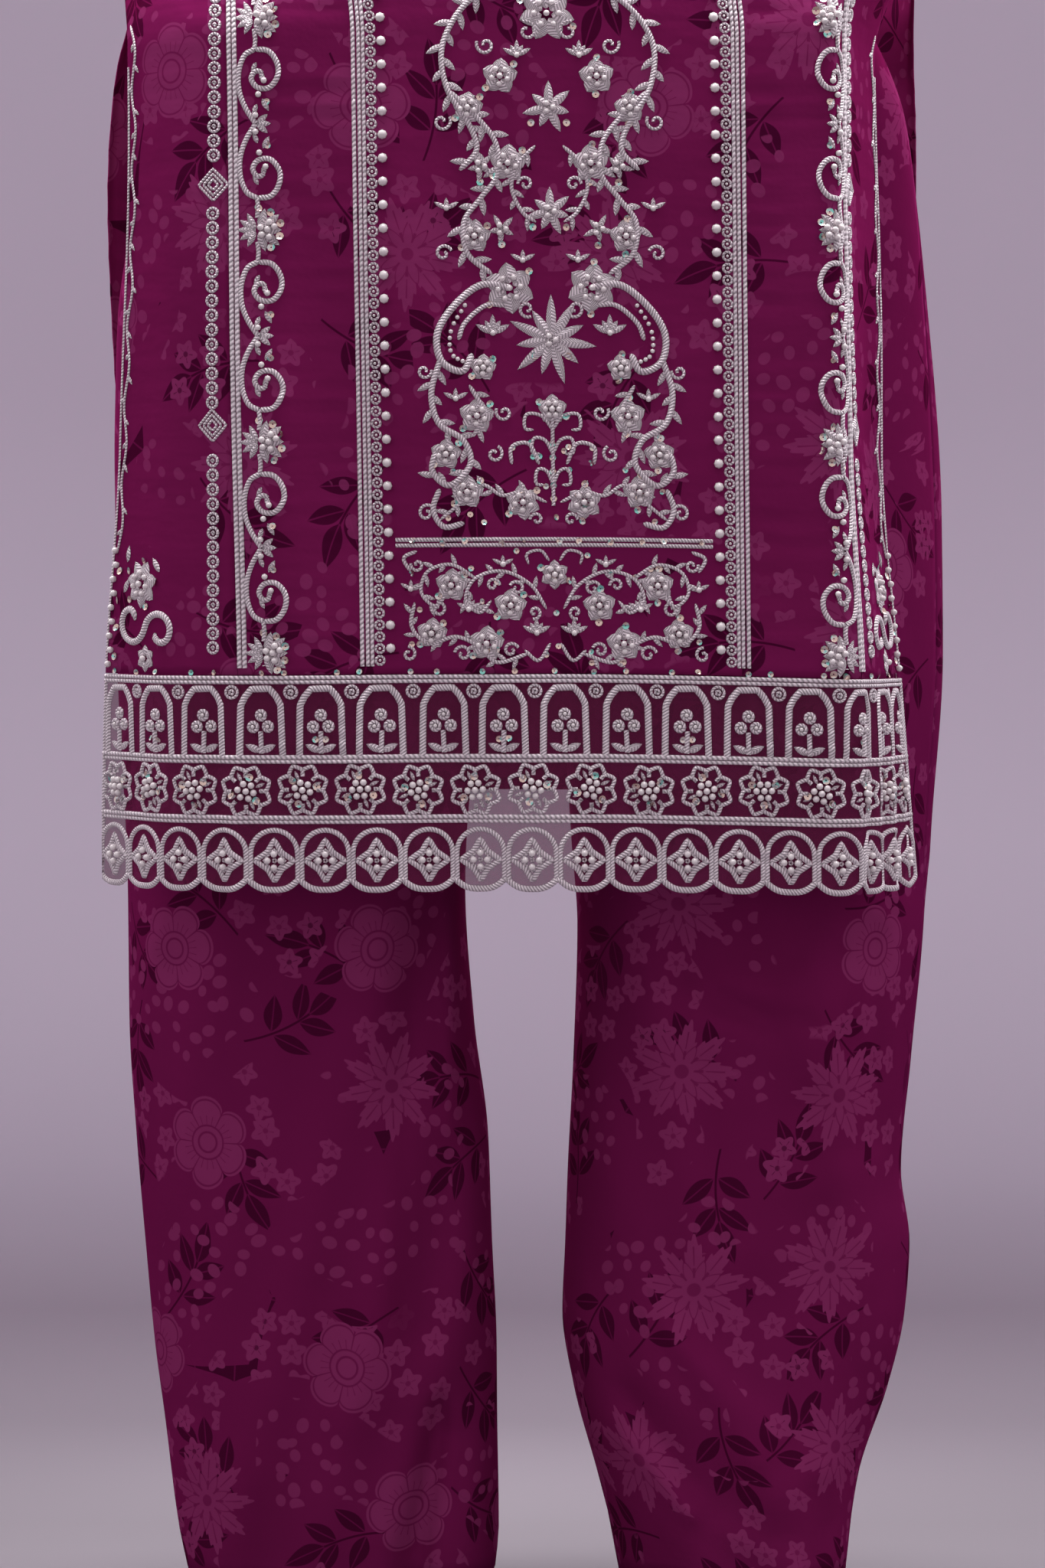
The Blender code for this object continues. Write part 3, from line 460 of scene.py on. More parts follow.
class Graph:
    """A material's node tree, written with ordinary arithmetic."""

    def __init__(self, name):
        self.material = bpy.data.materials.new(name)
        self.material.use_nodes = True
        self.tree = self.material.node_tree
        self.shader = self.tree.nodes["Principled BSDF"]

    def node(self, kind, **settings):
        made = self.tree.nodes.new("ShaderNode" + kind)
        for key, value in settings.items():
            setattr(made, key, value)
        return made

    def put(self, value, socket):
        """Link a number or a socket to a socket, or set it."""
        if isinstance(value, Val):
            self.tree.links.new(value.socket, socket)
        elif hasattr(value, "is_linked"):
            self.tree.links.new(value, socket)
        else:
            socket.default_value = value

    def maths(self, operation, *values):
        """A Math node's result."""
        made = self.node("Math", operation=operation)
        for k, value in enumerate(values):
            self.put(value, made.inputs[k])
        return Val(self, made.outputs[0])

    def uv(self):
        """The cloth's own coordinates, in metres."""
        return self.node("UVMap", uv_map="cloth").outputs[0]

    def split(self, vector):
        made = self.node("SeparateXYZ")
        self.tree.links.new(vector, made.inputs[0])
        return [Val(self, made.outputs[k]) for k in range(3)]

    def join(self, x, y, z=0.0):
        made = self.node("CombineXYZ")
        for k, value in enumerate((x, y, z)):
            self.put(value, made.inputs[k])
        return made.outputs[0]

    def noise(self, vector, scale, detail=2.0, roughness=0.5):
        made = self.node("TexNoise")
        self.tree.links.new(vector, made.inputs["Vector"])
        made.inputs["Scale"].default_value = scale
        made.inputs["Detail"].default_value = detail
        made.inputs["Roughness"].default_value = roughness
        return Val(self, made.outputs[0])

    def mix(self, factor, a, b):
        """A blend of two colours. A Mix node keeps its colour sockets in the places 6 and 7."""
        made = self.node("Mix", data_type="RGBA")
        self.put(factor, made.inputs["Factor"])
        for socket, value in ((made.inputs[6], a), (made.inputs[7], b)):
            self.put(value, socket)
        return made.outputs[2]

    def bump(self, height, distance, strength):
        """Tilt the surface as a height over it would, in metres of distance."""
        made = self.node("Bump")
        made.inputs["Strength"].default_value = strength
        made.inputs["Distance"].default_value = distance
        self.put(height, made.inputs["Height"])
        self.tree.links.new(made.outputs[0], self.shader.inputs["Normal"])


class Val:
    """A number in a material's node tree."""

    def __init__(self, graph, socket):
        self.graph, self.socket = graph, socket

    def __add__(self, other):
        return self.graph.maths("ADD", self, other)

    def __sub__(self, other):
        return self.graph.maths("SUBTRACT", self, other)

    def __mul__(self, other):
        return self.graph.maths("MULTIPLY", self, other)

    def __truediv__(self, other):
        return self.graph.maths("DIVIDE", self, other)

    def __neg__(self):
        return self.graph.maths("MULTIPLY", self, -1.0)

    __radd__, __rmul__ = __add__, __mul__

    def __rsub__(self, other):
        return self.graph.maths("SUBTRACT", other, self)

    def abs(self):
        return self.graph.maths("ABSOLUTE", self)

    def clip(self):
        """Held between 0 and 1."""
        made = self.graph.node("Clamp")
        self.graph.put(self, made.inputs[0])
        return Val(self.graph, made.outputs[0])

    def under(self, edge, soft=0.0005):
        """1 where this is below an edge, with a soft step."""
        return (self * (-1 / soft) + (edge / soft + 0.5)).clip()


def cells(g, x, y, size, jitter, shift):
    """Scattered motif centres: the place from the nearest one, in metres, and three random numbers for it."""
    vor = g.node("TexVoronoi", voronoi_dimensions="2D")
    point = g.join(x * (1 / size) + shift, y * (1 / size) + shift * 1.7)
    g.tree.links.new(point, vor.inputs["Vector"])
    vor.inputs["Scale"].default_value = 1.0
    vor.inputs["Randomness"].default_value = jitter
    away = g.node("VectorMath", operation="SUBTRACT")
    g.tree.links.new(point, away.inputs[0])
    g.tree.links.new(vor.outputs["Position"], away.inputs[1])
    dx, dy, _ = g.split(away.outputs[0])
    pick = g.node("SeparateColor")
    g.tree.links.new(vor.outputs["Color"], pick.inputs[0])
    chance = [Val(g, pick.outputs[k]) for k in range(3)]
    return dx * size, dy * size, chance


def turned(g, x, y, angle):
    """x and y turned by an angle."""
    c, s = g.maths("COSINE", angle), g.maths("SINE", angle)
    return x * c + y * s, y * c - x * s


def leaf_mask(u, v, at, angle, length, wide):
    """A pointed leaf from a place on a sprig, and its midrib."""
    c, s = math.cos(angle), math.sin(angle)
    a = (u - at[0]) * c + (v - at[1]) * s
    b = (v - at[1]) * c - (u - at[0]) * s
    t = a / length
    half = (t * (1 - t)) * (4 * wide) * (1.25 - t * 0.5)
    body = (b.abs() - half).under(0.0)
    rib = (b.abs() - 0.00045).under(0.0, 0.0003) * body
    return body, rib


def printed_cloth(name, base, light, dark, shift, crinkle):
    """The tonal floral print: outlined flowers, jagged stars, small blossoms, berries and leaf sprigs."""
    g = Graph(name)
    x, y, _ = g.split(g.uv())
    wander = g.noise(g.uv(), 30.0, 1.0)
    colour = g.mix((g.noise(g.uv(), 9.0, 3.0) * 1.6 - 0.3).clip(), base, [c * 1.14 for c in base[:3]] + [1])

    # leaf sprigs
    dx, dy, chance = cells(g, x, y, 0.078, 0.70, shift)
    u, v = turned(g, dx, dy, chance[0] * 6.28)
    bent = v - u * u * 5.0
    w = bent.abs()
    tip, tip_rib = leaf_mask(u, bent, (0.010, 0.0), 0.0, 0.027, 0.0058)
    low, low_rib = leaf_mask(u, w, (-0.016, 0.0015), 0.95, 0.024, 0.0054)
    high, high_rib = leaf_mask(u, w, (0.002, 0.001), 0.80, 0.024, 0.0052)
    stem = (w - 0.0007).under(0.0) * (u - 0.012).under(0.0) * (-u - 0.034).under(0.0)
    leaves = g.maths("MAXIMUM", g.maths("MAXIMUM", tip, low), g.maths("MAXIMUM", high, stem))
    ribs = g.maths("MAXIMUM", g.maths("MAXIMUM", tip_rib, low_rib), high_rib)
    shown = (0.22 - chance[1]).under(0.0, 0.01)
    colour = g.mix(leaves * shown * (1 - ribs * 0.7), colour, dark)

    # berries and small blossoms, in patches
    patch = g.noise(g.uv(), 13.0, 0.0)
    dx, dy, chance = cells(g, x, y, 0.0135, 0.75, shift + 3.3)
    u, v = turned(g, dx, dy, chance[0] * 6.28)
    r = g.maths("SQRT", u * u + v * v * 1.6)
    berry = (r - (0.0034 + 0.0016 * chance[2])).under(0.0) * (0.60 - patch).under(0.0, 0.004)
    colour = g.mix(berry * 0.85, colour, light)
    dx, dy, chance = cells(g, x, y, 0.0225, 0.55, shift + 7.1)
    u, v = turned(g, dx, dy, chance[0] * 6.28)
    r = g.maths("SQRT", u * u + v * v)
    a = g.maths("ARCTAN2", v, u)
    petal = (g.maths("COSINE", a * 5.0) * 0.17 + 0.83) * (0.0082 + 0.0018 * chance[1])
    blossom = (r - petal).under(0.0) * (patch - 0.43).under(0.0, 0.004) * (0.12 - chance[2]).under(0.0, 0.01)
    eye = (r - 0.0017).under(0.0)
    mark = ((g.maths("SINE", a * 2.5).abs() - 0.16).under(0.0, 0.05) * (r - 0.0052).under(0.0)
            * (0.0022 - r).under(0.0))
    inked = g.maths("MAXIMUM", eye, mark) * 0.75
    colour = g.mix(blossom * (1 - inked), colour, light)

    # large flowers: outlined petals, or jagged stars
    dx, dy, chance = cells(g, x, y, 0.122, 0.62, shift + 11.9)
    u, v = turned(g, dx, dy, chance[0] * 6.28)
    r = g.maths("SQRT", u * u + v * v * 1.12) + (wander - 0.5) * 0.004
    a = g.maths("ARCTAN2", v, u)
    lobe = g.maths("COSINE", a * 3.0).abs()
    edge = (g.maths("POWER", lobe, 0.42) * 0.30 + 0.70) * 0.0290
    flower = (r - edge).under(0.0)
    rim = ((r - edge + 0.0022).abs() - 0.0006).under(0.0)
    ring = ((r - 0.0068).abs() - 0.0007).under(0.0)
    ring_2 = ((r - 0.0112).abs() - 0.0006).under(0.0)
    seams = (g.maths("COSINE", a * 3.0).abs() - 0.07).under(0.0, 0.03) * (0.0112 - r).under(0.0)
    veins = ((g.maths("SINE", a * 12.0).abs() - 0.16).under(0.0, 0.06) * (0.0112 - r).under(0.0)
             * (r - 0.0175).under(0.0))
    rings = g.maths("MAXIMUM", ring, ring_2)
    inked = g.maths("MAXIMUM", rings, g.maths("MAXIMUM", g.maths("MAXIMUM", rim, seams), veins))
    rounded = flower * (1 - inked * 0.85)
    saw = (g.maths("FRACT", a * (9 / 6.28318)) - 0.5).abs() * 2.0
    jag = g.maths("SINE", a * 45.0) * 0.05
    star_edge = ((1 - saw) * 0.48 + 0.52 + jag) * 0.0345
    star = (r - star_edge).under(0.0)
    saw_2 = (g.maths("FRACT", a * (9 / 6.28318) + 0.5) - 0.5).abs() * 2.0
    inner_edge = ((1 - saw_2) * 0.5 + 0.4) * 0.0215
    inner_line = ((r - inner_edge).abs() - 0.0007).under(0.0)
    hearts = ((saw - 0.22).under(0.0, 0.04) * (r - 0.0135).under(0.0) * (0.0075 - r).under(0.0))
    lines = (saw - 0.055).under(0.0, 0.03) * (0.0150 - r).under(0.0) * (r - 0.0270).under(0.0)
    centre = (r - 0.0042).under(0.0)
    inked = g.maths("MAXIMUM", g.maths("MAXIMUM", inner_line, hearts), g.maths("MAXIMUM", lines, centre))
    jagged = star * (1 - inked * 0.75)
    kind = (chance[1] - 0.45).under(0.0, 0.01)
    large = rounded * kind + jagged * (1 - kind)
    mask = flower * kind + star * (1 - kind)
    shown = (0.10 - chance[2]).under(0.0, 0.01)
    ground = g.mix(mask * shown, colour, base)
    colour = g.mix(large * shown, ground, light)

    g.put(colour, g.shader.inputs["Base Color"])
    g.shader.inputs["Specular IOR Level"].default_value = 0.0
    g.shader.inputs["Metallic"].default_value = 0.16
    g.shader.inputs["Specular Tint"].default_value = (0.60, 0.14, 0.36, 1)
    rough = 0.50 + 0.16 * g.noise(g.uv(), 60.0, 2.0)
    g.put(rough, g.shader.inputs["Roughness"])
    warp = g.maths("SINE", x * (6283 / 0.75))
    weft = g.maths("SINE", y * (6283 / 0.75))
    cloth = g.noise(g.uv(), 55.0, 3.0, 0.6)
    across = g.noise(g.join(x * 16.0, y * 62.0), 1.0, 2.0, 0.45)
    g.bump(warp * weft * 0.03 + cloth * 0.6 + across * crinkle, 0.0016, 0.5)
    return g.material


def plain_cloth(name, colour, roughness):
    """A plain woven cloth."""
    g = Graph(name)
    x, y, _ = g.split(g.uv())
    tone = g.noise(g.uv(), 40.0, 3.0)
    g.put(g.mix(tone, colour, [c * 0.85 for c in colour[:3]] + [1]), g.shader.inputs["Base Color"])
    g.shader.inputs["Roughness"].default_value = roughness
    g.bump(g.maths("SINE", x * (6283 / 0.9)) * g.maths("SINE", y * (6283 / 0.9)), 0.0002, 0.3)
    return g


def thread_material(name, colour, pitch):
    """Couched cord: slanting stitches along it, with painted shade darkening the valleys between them."""
    g = Graph(name)
    x, y, _ = g.split(g.uv())
    slant = g.maths("SINE", (x + y * 0.6) * (6.28318 / pitch))
    stitch = g.maths("POWER", slant * 0.5 + 0.5, 0.6)
    tone = g.noise(g.uv(), 120.0, 2.0)
    # painted shade: the colour falls to three tenths of the thread's colour in the valleys between the
    # stitches
    shade = g.mix((stitch * 0.85 + tone * 0.35).clip(), [c * 0.30 for c in colour[:3]] + [1], colour)
    g.put(shade, g.shader.inputs["Base Color"])
    g.put(0.34 + 0.2 * tone, g.shader.inputs["Roughness"])
    g.shader.inputs["Metallic"].default_value = 0.15
    g.shader.inputs["Sheen Weight"].default_value = 0.2
    g.bump(stitch, 0.0007, 0.9)
    return g.material


# Colours, linear
WINE = (0.155, 0.0085, 0.066, 1)
WINE_LIGHT = (0.225, 0.025, 0.110, 1)
WINE_DARK = (0.062, 0.0030, 0.026, 1)
TROUSER_WINE = (0.140, 0.0075, 0.060, 1)
SILVER = (0.84, 0.72, 0.78, 1)

kameez_print = printed_cloth("kameez_print", WINE, WINE_LIGHT, WINE_DARK, 0.0, 1.6)
trouser_print = printed_cloth("trouser_print", TROUSER_WINE, WINE_LIGHT, WINE_DARK, 5.4, 0.25)
thread = thread_material("silver_thread", SILVER, 0.0019)
bugle = thread_material("silver_bugle_cord", SILVER, 0.0030)

veil_graph = plain_cloth("sheer_cloth", (0.180, 0.022, 0.078, 1), 0.6)
veil_graph.shader.inputs["Alpha"].default_value = 0.44
veil_graph.shader.inputs["Specular IOR Level"].default_value = 0.0
veil = veil_graph.material

pearl_graph = Graph("pearl")
tone = pearl_graph.noise(pearl_graph.node("TexCoord").outputs["Object"], 90.0, 1.0)
shade = pearl_graph.mix(tone, (0.80, 0.73, 0.74, 1), (0.66, 0.58, 0.60, 1))
pearl_graph.put(shade, pearl_graph.shader.inputs["Base Color"])
pearl_graph.shader.inputs["Roughness"].default_value = 0.22
pearl_graph.shader.inputs["Coat Weight"].default_value = 0.6
pearl_graph.shader.inputs["Coat Roughness"].default_value = 0.08
pearl = pearl_graph.material

sequin_graph = Graph("sequin")
hue = sequin_graph.noise(sequin_graph.node("TexCoord").outputs["Object"], 320.0, 0.0)
warm = sequin_graph.mix(((hue - 0.5) * 6.0 + 0.5).clip(), (0.70, 0.52, 0.45, 1), (0.62, 0.60, 0.60, 1))
cool = sequin_graph.mix(((hue - 0.60) * 12.0).clip(), warm, (0.25, 0.62, 0.55, 1))
sequin_graph.put(cool, sequin_graph.shader.inputs["Base Color"])
sequin_graph.shader.inputs["Metallic"].default_value = 0.85
sequin_graph.put(0.16 + 0.10 * hue, sequin_graph.shader.inputs["Roughness"])
sequin = sequin_graph.material


# Cloth of the kameez

def seam_s(v):
    """The princess seam's distance from the centre line, at a share of the way up from the chest."""
    return SEAM_S + (SEAM_TIP_S - SEAM_S) * smooth(v)


def edge_of(face, side):
    """A panel's outer edge: the side seam or slit below the chest, the armhole above it."""
    xc, yc, _ = closed_quarter(CHEST_Z, side, face)
    run = run_of(xc, yc)

    def edge(z, v):
        """The distance round from the centre line, at a height or at a share of the way up the armhole."""
        if v > 0:
            return side * float(np.interp(np.interp(v, ARMHOLE[:, 0], ARMHOLE[:, 1]), xc, run))
        return side * half_length(z, side, face)
    return edge


def panel(name, face, start, end, columns, up, down, hem):
    """A panel of the kameez between two edges, cut at the neckline, shoulder and armhole."""
    depth = FRONT_NECK if face == "front" else BACK_NECK
    surface = front if face == "front" else back
    shares = np.linspace(0, 1, columns + 1)
    points, uvs = [], []
    for v in (1 - np.linspace(0, 1, up + 1)[:-1] ** 1.6):
        a, b = start(CHEST_Z, v), end(CHEST_Z, v)
        s = a + (b - a) * shares
        x = body_row(s, CHEST_Z, face)[:, 0]
        z = CHEST_Z + (top_z(x, depth) - CHEST_Z) * v
        p = body_row(s, np.maximum(z, CHEST_Z), face)
        gap = SHOULDER_SEAM / 2
        p[:, 1] = np.minimum(p[:, 1], -gap) if face == "front" else np.maximum(p[:, 1], gap)
        points.append(p)
        uvs.append(np.stack([s, z], axis=1))
    for z in np.linspace(CHEST_Z, hem, down + 1):
        s = start(z, 0.0) + (end(z, 0.0) - start(z, 0.0)) * shares
        p = surface.at(s, np.full(s.shape, z))
        if z >= SLIT_TOP_Z:
            gap = SEAM / 2
            p[:, 1] = np.minimum(p[:, 1], -gap) if face == "front" else np.maximum(p[:, 1], gap)
        points.append(p)
        uvs.append(np.stack([s, np.full(s.shape, z)], axis=1))
    points, uvs = np.array(points), np.array(uvs)
    if face == "back":
        points, uvs = points[:, ::-1], uvs[:, ::-1]
    piece = shell(name, points, uvs, CLOTH_WALL, kameez_print)
    return piece, flat_area(points)


def finish_cloth(piece, node, flat, area):
    """The calls that every cloth piece needs."""
    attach(piece, "root")
    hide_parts(node)
    min(area, flat[0] * flat[1])


def seam_edge(side, beyond):
    """A panel's edge along a princess seam, half the seam's gap inside it or beyond it."""
    return lambda z, v: side * (seam_s(v) + beyond * SEAM / 2)


# Each panel: piece, node, face, its two edges, columns, rows up and down, hem, cut, what it rests on
for name, node, face, start, end, columns, up, down, hem, cut, under in (
        ("cloth_front_centre", "kameez_front_centre", "front", seam_edge(-1, -1), seam_edge(1, -1),
         90, 44, 150, PRINT_HEM_Z, (0.374, 0.840), "kameez_back"),
        ("cloth_front_gore_left", "kameez_front_gore_left", "front", seam_edge(1, 1), edge_of("front", 1),
         18, 36, 120, PRINT_HEM_Z, (0.115, 0.800), "cloth_front_centre"),
        ("cloth_front_gore_right", "kameez_front_gore_right", "front", edge_of("front", -1), seam_edge(-1, 1),
         18, 36, 120, PRINT_HEM_Z, (0.115, 0.800), "cloth_front_centre"),
        ("cloth_back", "kameez_back", "back", edge_of("back", -1), edge_of("back", 1),
         76, 36, 96, BACK_HEM_Z, (0.580, 0.925), "cloth_front_centre")):
    piece, area = panel(name, face, start, end, columns, up, down, hem)
    finish_cloth(piece, node, cut, area)


def border_s(share, z):
    """The distance round the front at a share of the border's width."""
    a, b = -half_length(z, -1, "front"), half_length(z, 1, "front")
    return a + (b - a) * share


def scallop_z(share):
    """The height of the scalloped edge."""
    wave = np.abs(np.sin(math.pi * np.asarray(share) * SCALLOPS))
    return SCALLOP_Z + SCALLOP_DEPTH * (1 - wave) ** 1.6


def build_veil():
    """The sheer border, from the printed hem down to its scallops."""
    share = np.linspace(0, 1, SCALLOPS * 8 + 1)
    top = PRINT_HEM_Z - SEAM
    bottom = scallop_z(share)
    points, uvs = [], []
    for t in np.linspace(0, 1, 31):
        z = top + (bottom - top) * t
        level = top + (SCALLOP_Z - top) * t
        s = border_s(share, level)
        points.append(front.at(s, z))
        uvs.append(np.stack([s, z], axis=1))
    piece = shell("cloth_hem_border", points, uvs, VEIL_WALL, veil)
    finish_cloth(piece, "hem_border", (0.580, 0.128),
                 flat_area(points))


build_veil()


def armhole_loop(side):
    """The armhole's points: up the front from the underarm to the shoulder tip, and down the back."""
    steps = 30
    shares = (np.linspace(0, 1, steps + 1)) ** 1.3
    loop = []
    for face, order in (("front", shares), ("back", shares[-2:0:-1])):
        edge = edge_of(face, side)
        for v in order:
            x = body_row(np.array([edge(CHEST_Z, v)]), CHEST_Z, face)[0, 0]
            z = CHEST_Z + (float(top_z(x, 0)) - CHEST_Z) * v
            loop.append(body_row(np.array([edge(CHEST_Z, v)]), np.array([max(z, CHEST_Z)]), face)[0])
    return loop, steps


def build_sleeve(name, node, side):
    """An elbow-length sleeve, tilted out from the body, with slight creases across it."""
    loop, half = armhole_loop(side)
    across = np.array([side * math.cos(SLEEVE_TILT), 0, math.sin(SLEEVE_TILT)])
    down = np.array([side * math.sin(SLEEVE_TILT), 0, -math.cos(SLEEVE_TILT)])
    start = loop[0] + across * SLEEVE_TOP_R
    rows, uvs = [], []
    for t in np.linspace(0, 1, 41):
        radius = SLEEVE_TOP_R + (SLEEVE_HEM_R - SLEEVE_TOP_R) * t
        centre = start + down * (SLEEVE_LENGTH * t)
        row = []
        for k, p in enumerate(loop):
            angle = math.pi * (1 - k / half)
            crease = 0.0016 * float(ripple(t * 4 + angle * 0.7, 21, 3)) * math.sin(math.pi * t)
            out = across * math.cos(angle) + np.array([0, -math.sin(angle), 0])
            tube = centre + (radius + crease) * out
            rise = (p[2] - CHEST_Z) / (TIP_Z - CHEST_Z)
            grow = np.array([p[0] / ARMHOLE[0][1], p[1] / SHOULDER_REACH, rise])
            grow /= np.linalg.norm(grow)
            grown = p + SLEEVE_GAP * (np.array([side, 0, 0]) + grow)
            w = float(smooth(t / 0.5))
            row.append(grown * (1 - w) + tube * w)
        girth = 2 * math.pi * radius
        uv = [(girth * k / len(loop) + side * 0.7, -SLEEVE_LENGTH * t) for k in range(len(loop) + 1)]
        rows.append(row if side > 0 else row[::-1])
        uvs.append(uv)
    piece = shell(name, rows, uvs, CLOTH_WALL, kameez_print, around=True)
    finish_cloth(piece, node, (0.440, 0.330),
                 flat_area(rows, True))


build_sleeve("cloth_sleeve_left", "sleeve_left", 1)
build_sleeve("cloth_sleeve_right", "sleeve_right", -1)


# Cloth of the trousers

def leg_curve(table, z, half):
    """Half of a leg's ring at a height, from its inner or centre seam to its outer seam."""
    r = row_at("leg", table, z)
    cx, hw = (r["inner"] + r["outer"]) / 2, (r["outer"] - r["inner"]) / 2
    cy, hd = (r["front"] + r["back"]) / 2, (r["back"] - r["front"]) / 2
    u = np.linspace(0, math.pi, 300)
    x = -np.sign(np.cos(u)) * np.abs(np.cos(u)) ** (2 / LEG_SQUARE) * hw
    y = np.sin(u).clip(0) ** (2 / LEG_SQUARE) * hd * (-1 if half == "front" else 1)
    x = cx + x + r["lean"] * y * (1 + x / hw) / 2
    y = cy + y
    keep = x >= SEAM / 2
    if not keep[0]:
        k = int(np.argmax(keep))
        t = (SEAM / 2 - x[k - 1]) / (x[k] - x[k - 1])
        x = np.concatenate([[SEAM / 2], x[k:]])
        y = np.concatenate([[y[k - 1] + t * (y[k] - y[k - 1])], y[k:]])
    return x, y


def fold_lift(leg, half, x, z):
    """How far the leg's folds and creases raise the cloth at places seen from the front."""
    total = np.zeros(np.shape(x))
    for name, side, x0, z0, x1, z1, wide, high in FOLDS + CREASES:
        if name != leg or side != half:
            continue
        dx, dz = x1 - x0, z1 - z0
        t = np.clip(((x - x0) * dx + (z - z0) * dz) / (dx * dx + dz * dz), 0, 1)
        away = np.hypot(x - x0 - t * dx, z - z0 - t * dz) / wide
        total = total + high * np.exp(-away * away)
    return total


def build_leg(leg, half):
    """Half of a trouser leg, from waist to hem."""
    sign = 1 if leg == "left" else -1
    table = LEG_LEFT if leg == "left" else LEG_RIGHT
    hem = HEM_LEFT if leg == "left" else HEM_RIGHT
    shares = np.linspace(0, 1, 57)
    out = -1 if half == "front" else 1
    seed = {"left": 31, "right": 41}[leg] + (half == "back")
    rows, uvs = [], []
    bottom = hem["side"] + (hem[half] - hem["side"]) * np.sin(math.pi * shares)
    rings = [np.full(shares.shape, z) for z in np.linspace(WAIST_Z, LAST_LEVEL_Z, 164)]
    rings += [LAST_LEVEL_Z + (bottom - LAST_LEVEL_Z) * part for part in (1 / 3, 2 / 3, 1)]
    for heights in rings:
        level = float(np.mean(heights))
        x, y = leg_curve(table, level, half)
        run = run_of(x, y)
        px, py = np.interp(shares * run[-1], run, x), np.interp(shares * run[-1], run, y)
        ease = smooth(np.minimum(shares, 1 - shares) / 0.15)
        waves = ripple(px / 0.075 + heights / 0.30, seed, 4) * smooth((-0.6 - heights) / 0.3)
        raised = fold_lift(leg, half, sign * px, heights) + LEG_RIPPLE * waves
        py = py + raised * ease * out
        other = leg_curve(table, level, "back" if half == "front" else "front")
        for k in (0, -1):
            middle = (py[k] + other[1][k]) / 2
            if abs(py[k] - middle) < 0.0002:
                py[k] += out * SEAM / 2
        rows.append(np.stack([sign * px, py, heights], axis=1))
        offset = sign * (0.5 if half == "front" else 1.2)
        uvs.append(np.stack([sign * shares * run[-1] + offset, heights], axis=1))
    rows, uvs = np.array(rows), np.array(uvs)
    if (leg == "left") == (half == "back"):
        rows, uvs = rows[:, ::-1], uvs[:, ::-1]
    piece = shell(f"cloth_trouser_{half}_{leg}", rows, uvs, CLOTH_WALL, trouser_print)
    finish_cloth(piece, f"trouser_{half}_{leg}", (0.370, 1.030),
                 flat_area(rows))


def build_waistband():
    """The trousers' waistband, gathered a little."""
    r = row_at("leg", LEG_LEFT, WAIST_Z)
    a = np.linspace(0, 2 * math.pi, 121)[:-1]
    c, s = np.cos(a), np.sin(a)
    x = np.sign(c) * np.abs(c) ** (2 / LEG_SQUARE) * r["outer"]
    y = np.sign(s) * np.abs(s) ** (2 / LEG_SQUARE) * r["back"]
    gather = 1 + 0.004 * ripple(a * 6, 51, 4)
    rows, uvs = [], []
    for t in np.linspace(0, 1, 9):
        z = WAIST_Z + SEAM + BAND_HEIGHT * (1 - t)
        bulge = 1 + (gather - 1) * math.sin(math.pi * t)
        rows.append(np.stack([x * bulge, y * bulge, np.full(a.shape, z)], axis=1))
        uvs.append([(0.84 * k / 120, z) for k in range(121)])
    piece = shell("cloth_waistband", rows, uvs, CLOTH_WALL, trouser_print, around=True)
    finish_cloth(piece, "trouser_waistband", (0.860, 0.033),
                 flat_area(rows, True))


build_waistband()
for leg in ("left", "right"):
    for half in ("front", "back"):
        build_leg(leg, half)


# Embroidery

CORD_STEP = 0.0016  # between the rings of points of a cord


